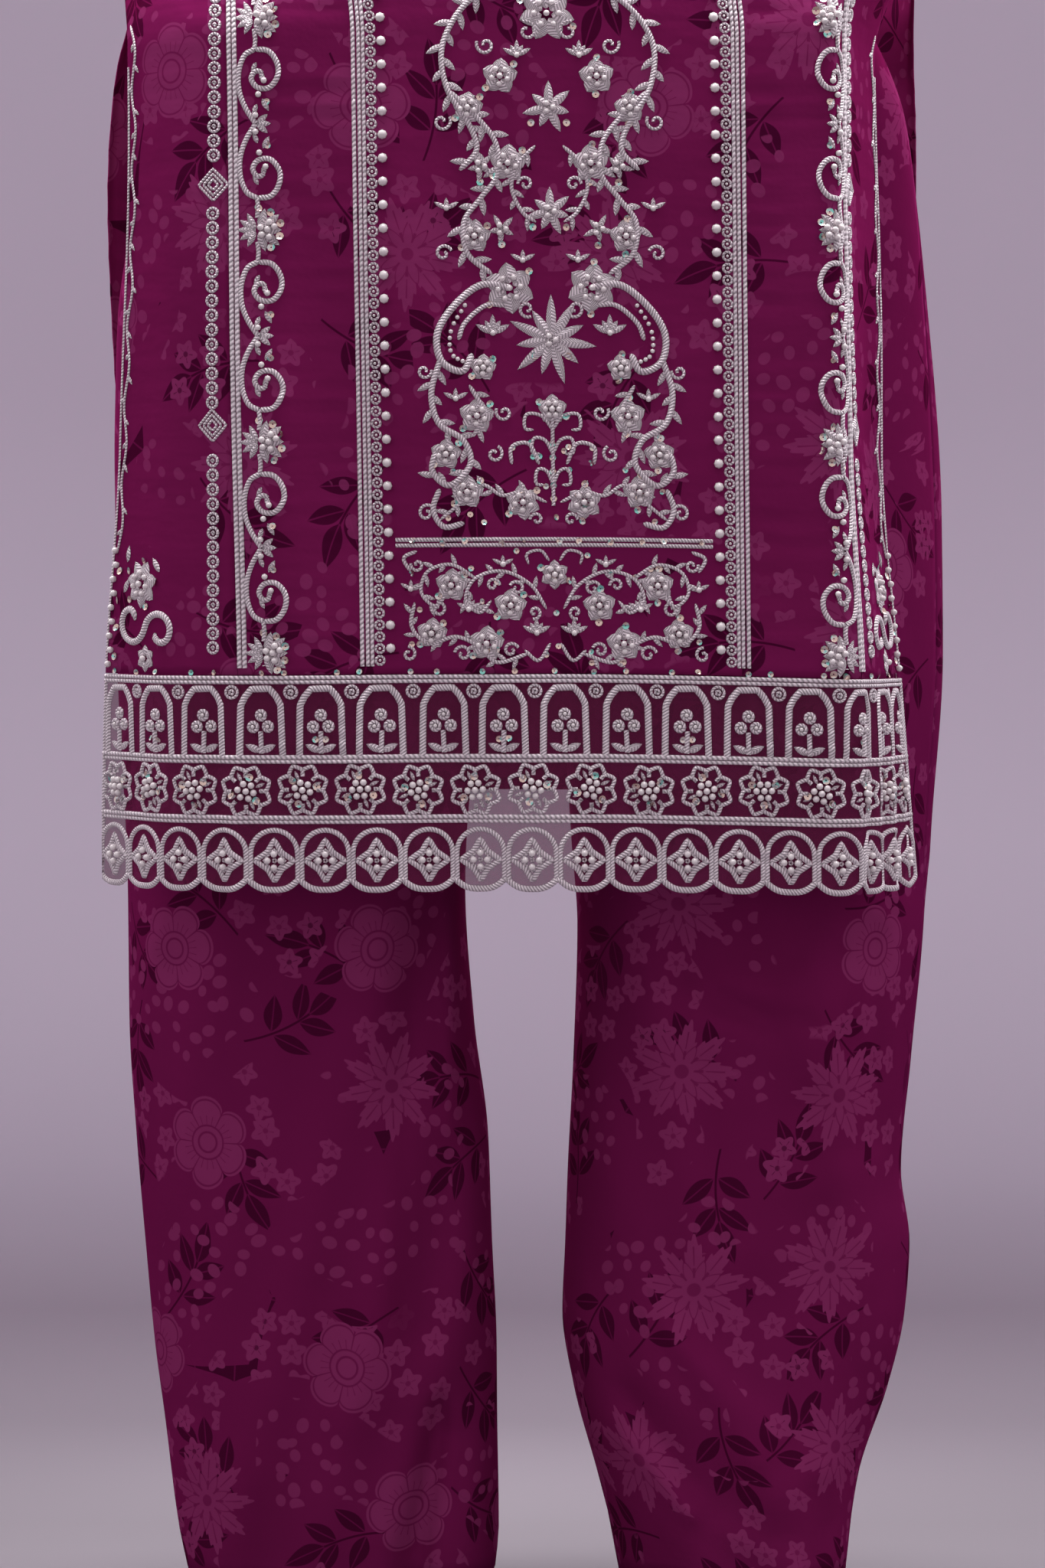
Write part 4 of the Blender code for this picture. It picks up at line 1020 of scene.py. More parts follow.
class Work:
    """Gathers embroidery on one surface, in metres of u and v, into one mesh."""

    def __init__(self, name, surface, material):
        self.name, self.surface, self.material = name, surface, material
        self.verts, self.quads, self.uvs, self.count = [], [], [], 0

    def add(self, verts, quads, uvs):
        """Take in a shape: its points, its quads, and the thread's coordinates at each quad's corners."""
        verts = verts.reshape(-1, 3)
        self.verts.append(verts)
        self.quads.append(quads + self.count)
        self.uvs.append(uvs)
        self.count += len(verts)

    def cord(self, path, width, height=None, closed=False, lift=0.0002, taper=0.0):
        """A couched half-round cord along a path of (u, v)."""
        path = resampled(path, CORD_STEP, closed)
        height = width * 0.5 if height is None else height
        n = len(path)
        if closed:
            ahead, behind = np.roll(path, -1, axis=0), np.roll(path, 1, axis=0)
        else:
            ahead = np.concatenate([path[1:], path[-1:]])
            behind = np.concatenate([path[:1], path[:-1]])
        along = ahead - behind
        along /= np.maximum(np.linalg.norm(along, axis=1, keepdims=True), 1e-9)
        side = np.stack([-along[:, 1], along[:, 0]], axis=1)
        steps = np.linalg.norm(np.diff(path, axis=0), axis=1)
        length = np.concatenate([[0], np.cumsum(steps)])
        scale = np.ones(n)
        if taper:
            scale = np.minimum(1, 0.35 + np.minimum(length, length[-1] - length) / taper)
        offsets = np.array([0.5, 0.30, -0.30, -0.5])
        heights = np.array([0.0, 1.0, 1.0, 0.0])
        uv = path[:, None, :] + side[:, None, :] * (offsets * width)[None, :, None] * scale[:, None, None]
        lifts = lift + heights[None, :] * height * scale[:, None]
        verts = self.surface.at(uv[..., 0], uv[..., 1], lifts)
        rows = n if closed else n - 1
        i, j = np.meshgrid(np.arange(rows), np.arange(3), indexing="ij")
        i, j = i.ravel(), j.ravel()
        k = (i + 1) % n
        quads = np.stack([i * 4 + j, i * 4 + j + 1, k * 4 + j + 1, k * 4 + j], axis=1)
        total = np.concatenate([length, [length[-1] + CORD_STEP]])
        thread_at = np.stack(np.meshgrid(total, offsets * width, indexing="ij"), axis=-1)
        corners = [thread_at[i, j], thread_at[i, j + 1], thread_at[i + 1, j + 1], thread_at[i + 1, j]]
        self.add(verts, quads, np.stack(corners, axis=1))

    def ring(self, u, v, radius, width):
        """A cord round (u, v)."""
        a = np.linspace(0, 2 * math.pi, max(9, int(radius * 2 * math.pi / 0.0018)) + 1)[:-1]
        self.cord(np.stack([u + radius * np.cos(a), v + radius * np.sin(a)], axis=1), width, closed=True)

    def leaf(self, u, v, angle, length, width, height=0.0011):
        """A padded satin-stitch leaf or petal, growing from (u, v)."""
        stations = np.linspace(0, 1, 7)
        spread = np.sin(math.pi * stations ** 0.85) ** 0.8 * width / 2
        offsets = np.array([-1.0, -0.6, 0.0, 0.6, 1.0])
        rise = np.array([0.0, 0.8, 1.0, 0.8, 0.0])
        a = np.array([math.cos(angle), math.sin(angle)])
        b = np.array([-a[1], a[0]])
        uv = (np.array([u, v]) + stations[:, None, None] * length * a
              + (spread[:, None] * offsets[None, :])[..., None] * b)
        lifts = 0.0002 + height * rise[None, :] * np.clip(np.sin(math.pi * stations), 0.25, 1)[:, None]
        verts = self.surface.at(uv[..., 0], uv[..., 1], lifts)
        i, j = np.meshgrid(np.arange(6), np.arange(4), indexing="ij")
        i, j = i.ravel(), j.ravel()
        quads = np.stack([i * 5 + j, (i + 1) * 5 + j, (i + 1) * 5 + j + 1, i * 5 + j + 1], axis=1)
        across = offsets * width / 2
        along = stations[:, None] * length + np.abs(across)
        thread_at = np.stack(np.broadcast_arrays(along, across), axis=-1)
        corners = [thread_at[i, j], thread_at[i + 1, j], thread_at[i + 1, j + 1], thread_at[i, j + 1]]
        self.add(verts, quads, np.stack(corners, axis=1))

    def build(self, replaced=()):
        """Join all that was gathered into one piece."""
        verts, quads = np.concatenate(self.verts), np.concatenate(self.quads)
        uvs = np.concatenate(self.uvs).reshape(-1, 2)
        piece = make_piece(self.name, verts, [quads], uvs, self.material)
        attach(piece, "root")
        if replaced:
            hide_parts(*replaced)


def resampled(path, step, closed=False):
    """A path at even steps."""
    path = np.asarray(path, float)
    if closed:
        path = np.concatenate([path, path[:1]])
    run = np.concatenate([[0], np.cumsum(np.linalg.norm(np.diff(path, axis=0), axis=1))])
    count = max(2, int(round(run[-1] / step)))
    at = np.linspace(0, run[-1], count + 1)
    out = np.stack([np.interp(at, run, path[:, 0]), np.interp(at, run, path[:, 1])], axis=1)
    return out[:-1] if closed else out


def curve(points, per=12):
    """A smooth curve through points."""
    p = np.asarray(points, float)
    q = np.concatenate([[2 * p[0] - p[1]], p, [2 * p[-1] - p[-2]]])
    t = np.linspace(0, 1, per, endpoint=False)[:, None]
    out = []
    for k in range(1, len(q) - 2):
        a, b, c, d = q[k - 1], q[k], q[k + 1], q[k + 2]
        out.append(0.5 * (2 * b + (c - a) * t + (2 * a - 5 * b + 4 * c - d) * t ** 2
                          + (3 * b - a - 3 * c + d) * t ** 3))
    out.append(p[-1:])
    return np.concatenate(out)


def spiral(u, v, radius, start, turns):
    """A curl that winds in round (u, v), to a quarter of its radius."""
    t = np.linspace(0, 1, 40)
    r = radius * (1 - 0.75 * t)
    a = start + turns * 2 * math.pi * t
    return np.stack([u + r * np.cos(a), v + r * np.sin(a)], axis=1)


class Beads:
    """Gathers pearls and sequins on a surface."""

    def __init__(self, surface):
        self.surface, self.pearls, self.sequins = surface, [], []

    def pearl(self, u, v, radius=0.0019, lift=0.0):
        self.pearls.append((u, v, radius, lift))

    def sequin(self, u, v, radius=0.0022, lift=0.0):
        self.sequins.append((u, v, radius, lift))

    def frames(self, rows, tilt):
        """The beads' rows, places, normals and side axes. Sequins are tilted a little by chance."""
        rows = np.array(rows)
        p, n = self.surface.read(rows[:, 0], rows[:, 1])
        if tilt:
            own = np.random.default_rng(len(rows))
            n = n + own.normal(0, tilt, n.shape)
            n /= np.linalg.norm(n, axis=1, keepdims=True)
        x = np.cross(np.array([0.0, 0.0, 1.0]), n)
        x /= np.maximum(np.linalg.norm(x, axis=1, keepdims=True), 1e-9)
        return rows, p, n, x, np.cross(n, x)

    def build(self, name):
        """Join the pearls into one piece and the sequins into another."""
        for kind, rows, material in (("pearls", self.pearls, pearl), ("sequins", self.sequins, sequin)):
            if not rows:
                continue
            rows, p, n, x, y = self.frames(rows, 0.22 if kind == "sequins" else 0)
            around = 8
            a = np.linspace(0, 2 * math.pi, around, endpoint=False)
            if kind == "pearls":
                shape = [(math.cos(e), math.sin(e)) for e in np.radians([-35, 5, 40, 68])]
                rise = 0.62
            else:
                shape = [(1.0, 0.22), (0.62, 0.05), (0.20, 0.0)]
                rise = 0.35
            unit = [(r * math.cos(t), r * math.sin(t), h) for r, h in shape for t in a]
            if kind == "pearls":
                unit.append((0, 0, 1))
            unit = np.array(unit)
            radius, lift = rows[:, 2], rows[:, 3]
            centre = p + n * (lift + radius * rise)[:, None]
            verts = (centre[:, None] + radius[:, None, None] * (
                unit[None, :, 0, None] * x[:, None] + unit[None, :, 1, None] * y[:, None]
                + unit[None, :, 2, None] * n[:, None]))
            i, j = np.meshgrid(np.arange(len(shape) - 1), np.arange(around), indexing="ij")
            i, j = i.ravel(), j.ravel()
            k = (j + 1) % around
            low, high = i * around, (i + 1) * around
            one = np.stack([low + j, low + k, high + k, high + j], axis=1)
            base = (np.arange(len(rows)) * len(unit))[:, None, None]
            groups = [(one[None] + base).reshape(-1, 4)]
            if kind == "pearls":
                last = (len(shape) - 1) * around
                top = np.stack([last + np.arange(around), last + (np.arange(around) + 1) % around,
                                np.full(around, len(unit) - 1)], axis=1)
                groups.append((top[None] + base).reshape(-1, 3))
            piece = make_piece(f"{name}_{kind}", verts.reshape(-1, 3), groups, None, material)
            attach(piece, "root")
            "pearl" if kind == "pearls" else "sequin"


def blossom(work, beads, u, v, radius, petals=5, turn=0.3, pearls=6, sequins=2):
    """A small flower: padded petals, pearls at its heart and sequins tucked beside it."""
    for k in range(petals):
        a = turn + 2 * math.pi * k / petals
        work.leaf(u + radius * 0.18 * math.cos(a), v + radius * 0.18 * math.sin(a), a,
                  radius * 0.86, radius * 4.6 / petals)
    beads.pearl(u, v, 0.0019, 0.0010)
    for k in range(pearls):
        a = turn + 2 * math.pi * (k + 0.5) / pearls
        beads.pearl(u + radius * 0.46 * math.cos(a), v + radius * 0.46 * math.sin(a), 0.0018, 0.0006)
    for k in range(sequins):
        a = turn + 1.1 + 2 * math.pi * k / max(sequins, 1)
        beads.sequin(u + radius * 1.04 * math.cos(a), v + radius * 1.04 * math.sin(a))


def leaf_star(work, beads, u, v, radius, leaves, start=0.0, span=2 * math.pi, pearls=1):
    """Narrow leaves that spread from a point."""
    for k in range(leaves):
        a = start + span * k / (leaves if span > 6 else max(1, leaves - 1))
        long = radius * (1.0 if k % 2 == 0 else 0.78)
        work.leaf(u, v, a, long, radius * (0.34 if leaves < 9 else 0.22))
    for k in range(pearls):
        a = 2 * math.pi * k / pearls
        out = 0.0026 if pearls > 1 else 0.0
        beads.pearl(u + out * math.cos(a), v + out * math.sin(a), 0.0018, 0.0008)


def vine(work, path, width, every, leaf, sides=(1, -1), taper=0.004):
    """A stem with leaves beside it, first on one side and then on the other."""
    path = np.asarray(path)
    work.cord(path, width, taper=taper)
    even = resampled(path, every)
    for k in range(1, len(even) - 1):
        along = even[min(k + 1, len(even) - 1)] - even[k - 1]
        a = math.atan2(along[1], along[0])
        side = sides[k % len(sides)]
        work.leaf(even[k][0], even[k][1], a + side * 0.85, leaf * (1.0 if k % 3 else 0.8), leaf * 0.36)


def mm(points, flip, u0, v0):
    """Points in millimetres from a place, mirrored on request."""
    p = np.asarray(points, float) * 0.001
    return np.stack([u0 + flip * p[:, 0], v0 + p[:, 1]], axis=1)


# The centre panel's ornament, in millimetres from the centre line and from the height TOP.
# Each stem has its points, its width, and the pitch and length of its leaves, or None for a bare cord.
# Each blossom and star has its place, its radius and its number of petals or leaves.
TOP = -0.449
STEM_SCALE, LEAF_SCALE, LEAF_EVERY, BLOSSOM_SCALE = 0.00128, 0.00130, 0.00086, 0.00120
STEMS = [
    ([(4, 10), (26, 9), (48, -4), (61, -26), (59, -50), (47, -70), (42, -86), (52, -98)], 2.6, 8.5, 8.5),
    ([(58, -52), (43, -66), (31, -82), (30, -100), (40, -114), (50, -128), (48, -146), (34, -158)],
     2.4, 8.0, 8.5),
    ([(8, -84), (18, -94), (22, -108), (16, -122), (8, -128)], 1.8, 7.0, 6.5),
    ([(22, -166), (40, -164), (56, -176), (66, -192), (64, -208), (52, -214), (46, -204)], 3.2, None, 0),
    ([(26, -176), (38, -176), (50, -186), (54, -196)], 2.2, None, 0),
    ([(64, -206), (70, -226), (66, -244), (52, -254), (48, -268), (60, -280), (70, -272), (68, -260)],
     2.8, 9.0, 8.0),
    ([(48, -222), (40, -238), (46, -252)], 2.0, 6.5, 7.0),
    ([(4, -290), (18, -284), (30, -286), (42, -280), (56, -292), (66, -300)], 1.6, 7.5, 6.5),
    ([(66, -282), (70, -294), (64, -304), (52, -302)], 2.6, None, 0),
    ([(8, -268), (14, -256), (24, -258), (24, -268)], 1.8, None, 0),
]
BLOSSOMS = [(0, -8, 13, 7), (28, -44, 8.5, 5), (47, -62, 7.5, 5), (24, -94, 9, 5), (44, -136, 8, 5),
            (24, -166, 12, 6), (40, -212, 6.5, 5), (44, -240, 8.5, 5), (62, -262, 7.5, 5), (50, -284, 8, 5),
            (18, -290, 8.5, 6)]
STARS = [(0, -62, 13, 7), (0, -122, 12, 7), (0, -196, 22, 11), (40, -96, 8, 5), (28, -132, 8, 5)]
PANEL_STEMS = [
    ([(5, -352), (14, -338), (30, -330), (46, -334), (52, -346), (44, -354), (37, -347)], 1.6, 8.0, 6.0),
    ([(46, -334), (60, -326), (74, -330), (78, -342), (70, -350), (63, -343)], 1.6, 8.0, 6.0),
    ([(16, -378), (34, -383), (44, -374), (58, -368), (74, -372), (84, -362), (82, -348)], 1.8, 8.0, 6.0),
    ([(84, -330), (88, -322), (80, -318)], 1.8, None, 0),
    ([(3, -324), (8, -318), (16, -320), (15, -326)], 1.4, None, 0),
    ([(3, -372), (10, -382), (18, -376)], 1.6, None, 0),
]
# Fans of leaves: place, size and leaves
FANS = [(11, -366, 9, 5), (34, -192, 11, 5), (18, -32, 9, 5), (60, -120, 8, 3), (16, -150, 8, 3),
        (56, -230, 8, 3), (50, -352, 8, 5), (30, -326, 7, 3), (84, -340, 7, 3)]
# Small curls: centre, radius, start angle and turns
CURLS = [(12, -18, 6.0, 1.2, 1.1), (36, -26, 5.5, 0.4, -1.1), (62, -70, 5.5, 2.6, 1.1),
         (14, -106, 4.5, 0.0, 1.1), (62, -146, 5.0, 2.8, -1.1), (14, -178, 5.0, 4.2, 1.1),
         (74, -214, 4.5, 3.0, 1.1), (28, -238, 5.0, 0.5, -1.1), (34, -262, 5.0, 2.0, 1.1),
         (74, -296, 5.0, 2.2, -1.1), (10, -300, 4.0, 0.0, 1.0), (22, -340, 4.5, 0.4, 1.1),
         (36, -338, 4.0, 3.2, -1.1), (68, -352, 4.5, 1.4, 1.1), (12, -354, 4.0, 5.0, -1.1),
         (54, -378, 5.0, 0.2, 1.1), (26, -376, 4.5, 2.8, -1.1), (86, -378, 4.5, 1.5, 1.1),
         (80, -326, 4.0, 0.2, -1.1)]
# Blossoms of the scroll panel at the foot, as above
PANEL_BLOSSOMS = [(0, -332, 7, 6), (26, -350, 8, 5), (60, -338, 8, 5), (40, -372, 8.5, 5), (72, -366, 7.5, 5)]


def centre_work():
    """The tall vine panel, the cross cord below it and the scroll panel."""
    work, beads = Work("centre_embroidery", front, thread), Beads(front)
    for flip in (1, -1):
        for stems in (STEMS, PANEL_STEMS):
            for points, width, every, leaf in stems:
                path = mm(curve(points), flip, 0, TOP)
                if every is None:
                    work.cord(path, width * STEM_SCALE, taper=0.003)
                else:
                    vine(work, path, width * STEM_SCALE, every * LEAF_EVERY, leaf * LEAF_SCALE,
                         sides=(flip, -flip))
        for u, v, r, petals in BLOSSOMS + PANEL_BLOSSOMS:
            if u == 0 and flip < 0:
                continue
            turn = math.pi / 2 if u == 0 else (0.4 if flip > 0 else math.pi - 0.4)
            blossom(work, beads, flip * u * 0.001, TOP + v * 0.001, r * BLOSSOM_SCALE, petals, turn,
                    pearls=6 if r > 9 else 5)
        for u, v, r, leaves in STARS:
            if u == 0 and flip < 0:
                continue
            start = math.pi / 2 if u == 0 else (math.pi / 2 - 0.5 * flip)
            leaf_star(work, beads, flip * u * 0.001, TOP + v * 0.001, r * BLOSSOM_SCALE, leaves, start,
                      pearls=3)
            for k in range(2 if u == 0 else 1):
                beads.sequin(flip * u * 0.001 + (0.010 if k else -0.010) * (u == 0), TOP + (v - 9) * 0.001)
        # pearls round the paired arches
        arch = mm(curve([(50, -176), (58, -190), (58, -204), (48, -210)]), flip, 0, TOP)
        for share in np.linspace(0, 1, 12):
            u, v = arch[int(share * (len(arch) - 1))]
            beads.pearl(u, v, 0.0014)
        for u, v, size, leaves in FANS:
            leaf_star(work, beads, flip * u * 0.001, TOP + v * 0.001, size * 0.001, leaves,
                      math.pi / 2 - 1.1, 2.2, pearls=1)
        for u, v, radius, start, turns in CURLS:
            curl = spiral(u, v, radius, start, turns)
            work.cord(mm(curl, flip, 0, TOP), 0.0019, 0.0009)
    # fountain on the centre line
    work.cord(mm([(0, -232), (0, -292)], 1, 0, TOP), 0.0022)
    for v, reach in ((-240, 15), (-254, 11), (-272, 9)):
        for flip in (1, -1):
            jet = curve([(0, v - 8), (reach * 0.4, v), (reach, v + 1), (reach + 1, v - 7), (reach - 4, v - 8)])
            work.cord(mm(jet, flip, 0, TOP), 0.0020, taper=0.003)
    blossom(work, beads, 0, TOP - 0.236, 0.0085, 5, math.pi / 2)
    for k in range(5):
        beads.sequin(0, TOP - 0.256 - 0.008 * k, 0.0020)
    # the cross cord
    level = -0.7605
    for dv in (0.0, -0.0032):
        work.cord([(-0.0925, level + dv), (0.0925, level + dv)], 0.0024)
    for k in range(11):
        beads.sequin(-0.082 + 0.0164 * k + 0.003 * math.sin(k * 2.7), level - 0.0015, 0.0019, 0.0012)
    # sequins at the panel's foot
    for k in range(22):
        beads.sequin(rng.uniform(-0.085, 0.085), TOP - 0.001 * rng.uniform(318, 384), 0.0018)
    for k in range(26):
        beads.sequin(rng.uniform(-0.066, 0.066), TOP - 0.001 * rng.uniform(250, 306), 0.0018)
    work.build()
    beads.build("centre")


def braid_work(side, tail):
    """An inner braid: outer cord, a pair of cords, a chain of rings and a row of ball picots."""
    work, beads = Work(f"braid_{tail}_embroidery", front, thread), Beads(front)
    cords = Work(f"braid_{tail}_cords", front, bugle)
    low, high = -0.834, -0.075
    for s, width in ((0.1130, 0.0024), (0.1098, 0.0022), (0.1072, 0.0022)):
        cords.cord([(side * s, high), (side * s, low)], width)
    cords.build()
    pitch = 0.0069
    for k in range(int((high - low) / pitch) + 1):
        z = high - 0.0035 - pitch * k
        if z < low + 0.002:
            break
        work.ring(side * 0.1028, z, 0.0026, 0.0016)
        beads.pearl(side * 0.1028, z, 0.0009, 0.0001)
    pitch = 0.0135
    for k in range(int((high - low) / pitch)):
        z = high - 0.006 - pitch * k
        beads.pearl(side * 0.0965, z, 0.0029)
    work.build(replaced=(f"braid_{tail}",))
    beads.build(f"braid_{tail}")


# The side vine's curl and stem, in millimetres from a node: towards the centre, and along the vine
SCROLL_RING = [(0, 18.5), (8, 19.5), (13, 26), (13.5, 34), (8.5, 40.5), (1.5, 40.5), (-2.2, 35.5), (0.5, 31),
               (5, 32)]
SCROLL_STEM = [(0, 18.5), (-6, 22), (-9.5, 31), (-9.5, 42), (-6, 52), (0, 61.3)]


def side_work(side, tail):
    """A side column: the double cord with its vine inside it, and a ring chain with diamonds outside it."""
    work, beads = Work(f"side_{tail}_embroidery", front, thread), Beads(front)
    cords = Work(f"side_{tail}_cords", front, bugle)
    low, high = -0.8345, -0.075
    for s in (0.1826, 0.1858):
        cords.cord([(side * s, high), (side * s, low)], 0.0028)
    diamonds = [-0.415 + 0.139 * k for k in range(3, -3, -1)]
    z = high
    while z > low + 0.004:
        s = 0.193 + 0.010 * (-0.40 - z) / 0.44 if z < -0.40 else 0.193
        if min(abs(z - d) for d in diamonds) > 0.0122 and z < -0.09:
            work.ring(side * s, z, 0.0033, 0.0018)
            work.ring(side * s, z, 0.0011, 0.0014)
        z -= 0.0084
    for d in diamonds:
        if not -0.8335 < d < -0.12:
            continue
        s = side * (0.193 + 0.010 * max(0, (-0.40 - d)) / 0.44)
        for size in (0.0092, 0.0062, 0.0032):
            work.cord([(s, d + size), (s + size, d), (s, d - size), (s - size, d)], 0.0016, closed=True)
    axis, pitch = 0.1705, 0.1226

    def at(x, y, node, up):
        """A place beside the vine: x millimetres towards the centre, y below or above a node."""
        return side * (axis - x * 0.001), node - up * y * 0.001

    def path(points, node, up):
        p = curve(points)
        q = np.array([at(x, y, node, up) for x, y in p])
        return q[q[:, 1] > low + 0.001]

    for k in range(-3, 4):
        node = -0.458 - pitch * k
        if not -0.83 < node < -0.09:
            continue
        for j in range(5):
            a = math.radians(-64 + 32 * j)
            out = 0.0 if side > 0 else math.pi
            work.leaf(*at(-1.0, 0, node, 1), out + a, 0.0108, 0.0040)
        for j in range(5):
            a = math.radians(-76 + 38 * j)
            into = math.pi if side > 0 else 0.0
            u, v = at(1.5, 0, node, 1)
            work.leaf(u, v, into + a, 0.0128 if j % 2 == 0 else 0.0145, 0.0056, 0.0014)
            beside = into + a + 0.33
            beads.sequin(u + 0.0122 * math.cos(beside), v + 0.0122 * math.sin(beside), 0.0024)
        u, v = at(6.0, 0, node, 1)
        for du, dv in ((0, 0), (0.0040, 0.0016), (-0.0040, 0.0012), (0.0012, 0.0044), (0.0010, -0.0042),
                       (-0.0034, -0.0030)):
            beads.pearl(u + du, v + dv, 0.0021, 0.0011)
        for up in (1, -1):
            work.cord(path([(0, 7), (0.6, 13), (0, 18.5)], node, up), 0.0026)
            ring = path(SCROLL_RING, node, up)
            if len(ring) > 30:
                work.cord(ring, 0.0032, 0.0014, taper=0.003)
            stem = path(SCROLL_STEM, node, up)
            if len(stem) > 30:
                work.cord(stem, 0.0031, 0.0013)
            for x, y, a, size in ((3.5, 31, 0.2, 7.5), (1.0, 26, -0.5, 6.5), (4.0, 47, 0.5, 8.0),
                                  (1.0, 50, -0.4, 7.0)):
                u, v = at(x, y, node, up)
                if v > low + 0.006:
                    work.leaf(u, v, -up * math.pi / 2 - side * a * up, size * 0.001, size * 0.00042)
            for x, y in ((2.0, 44.5), (0.0, 56.5), (5.5, 36.5)):
                u, v = at(x, y, node, up)
                if v > low + 0.004:
                    beads.pearl(u, v, 0.0019, 0.0004)
            u, v = at(7.0, 49, node, up)
            if v > low + 0.004:
                beads.sequin(u, v, 0.0021)
        for j in range(3):
            u, v = at(0.5, 61.3, node, 1)
            if v > low + 0.012:
                work.leaf(u, v, (0.0 if side < 0 else math.pi) + math.radians(-40 + 40 * j), 0.0085, 0.0036)
    cords.build(replaced=(f"side_cord_{tail}",))
    work.build()
    beads.build(f"side_{tail}")


def s_curl(u, v, first, second, tilt):
    """An S curl: two spirals, of these radii, that meet at (u, v)."""
    one = spiral(-first, 0, first, 0.0, 0.95)
    two = spiral(second, 0, second, math.pi, 0.95)
    both = np.concatenate([one[::-1], two[1:]])
    c, s = math.cos(tilt), math.sin(tilt)
    return np.stack([u + both[:, 0] * c - both[:, 1] * s, v + both[:, 0] * s + both[:, 1] * c], axis=1)


def corner_work(side, tail):
    """The corner sprays above the border, and the narrow vine along the slit."""
    work, beads = Work(f"corner_{tail}_embroidery", front, thread), Beads(front)
    shift = 0.010 if side < 0 else -0.008
    blossom(work, beads, side * (0.247 + shift), -0.785, 0.0140, 7, 0.2, pearls=7, sequins=5)
    blossom(work, beads, side * (0.2435 + shift), -0.8292, 0.0078, 6, 0.5, pearls=0, sequins=0)
    scroll = s_curl(0.243 + shift, -0.8105, 0.0130, 0.0150, 0.25)
    work.cord(np.stack([side * scroll[:, 0], scroll[:, 1]], axis=1), 0.0042, 0.0016, taper=0.005)
    for u, v, a in ((0.266, -0.790, 0.6), (0.262, -0.772, 0.2), (0.230, -0.778, -0.6)):
        work.leaf(side * (u + shift), v, math.pi / 2 + side * a, 0.010, 0.0042)
    for k in range(9):
        v = -0.765 - 0.0085 * k
        edge = half_length(v, side, "front") - 0.0045 - 0.002 * (k % 2)
        beads.pearl(side * edge, v, 0.0021)
        if k % 2:
            beads.sequin(side * (edge - 0.004), v - 0.004, 0.0024)
    z = np.linspace(-0.455, -0.765, 90)
    edge = np.array([half_length(h, side, "front") - 0.0075 for h in z])
    wave = 0.0022 * np.sin(z * 2 * math.pi / 0.046)
    vine(work, np.stack([side * (edge + wave), z], axis=1), 0.0015, 0.0135, 0.0066, sides=(1, -1))
    z = np.linspace(-0.48, -0.835, 60)
    edge = np.array([half_length(h, side, "front") - 0.0016 for h in z])
    work.cord(np.stack([side * edge, z], axis=1), 0.0014)
    work.build()
    beads.build(f"corner_{tail}")


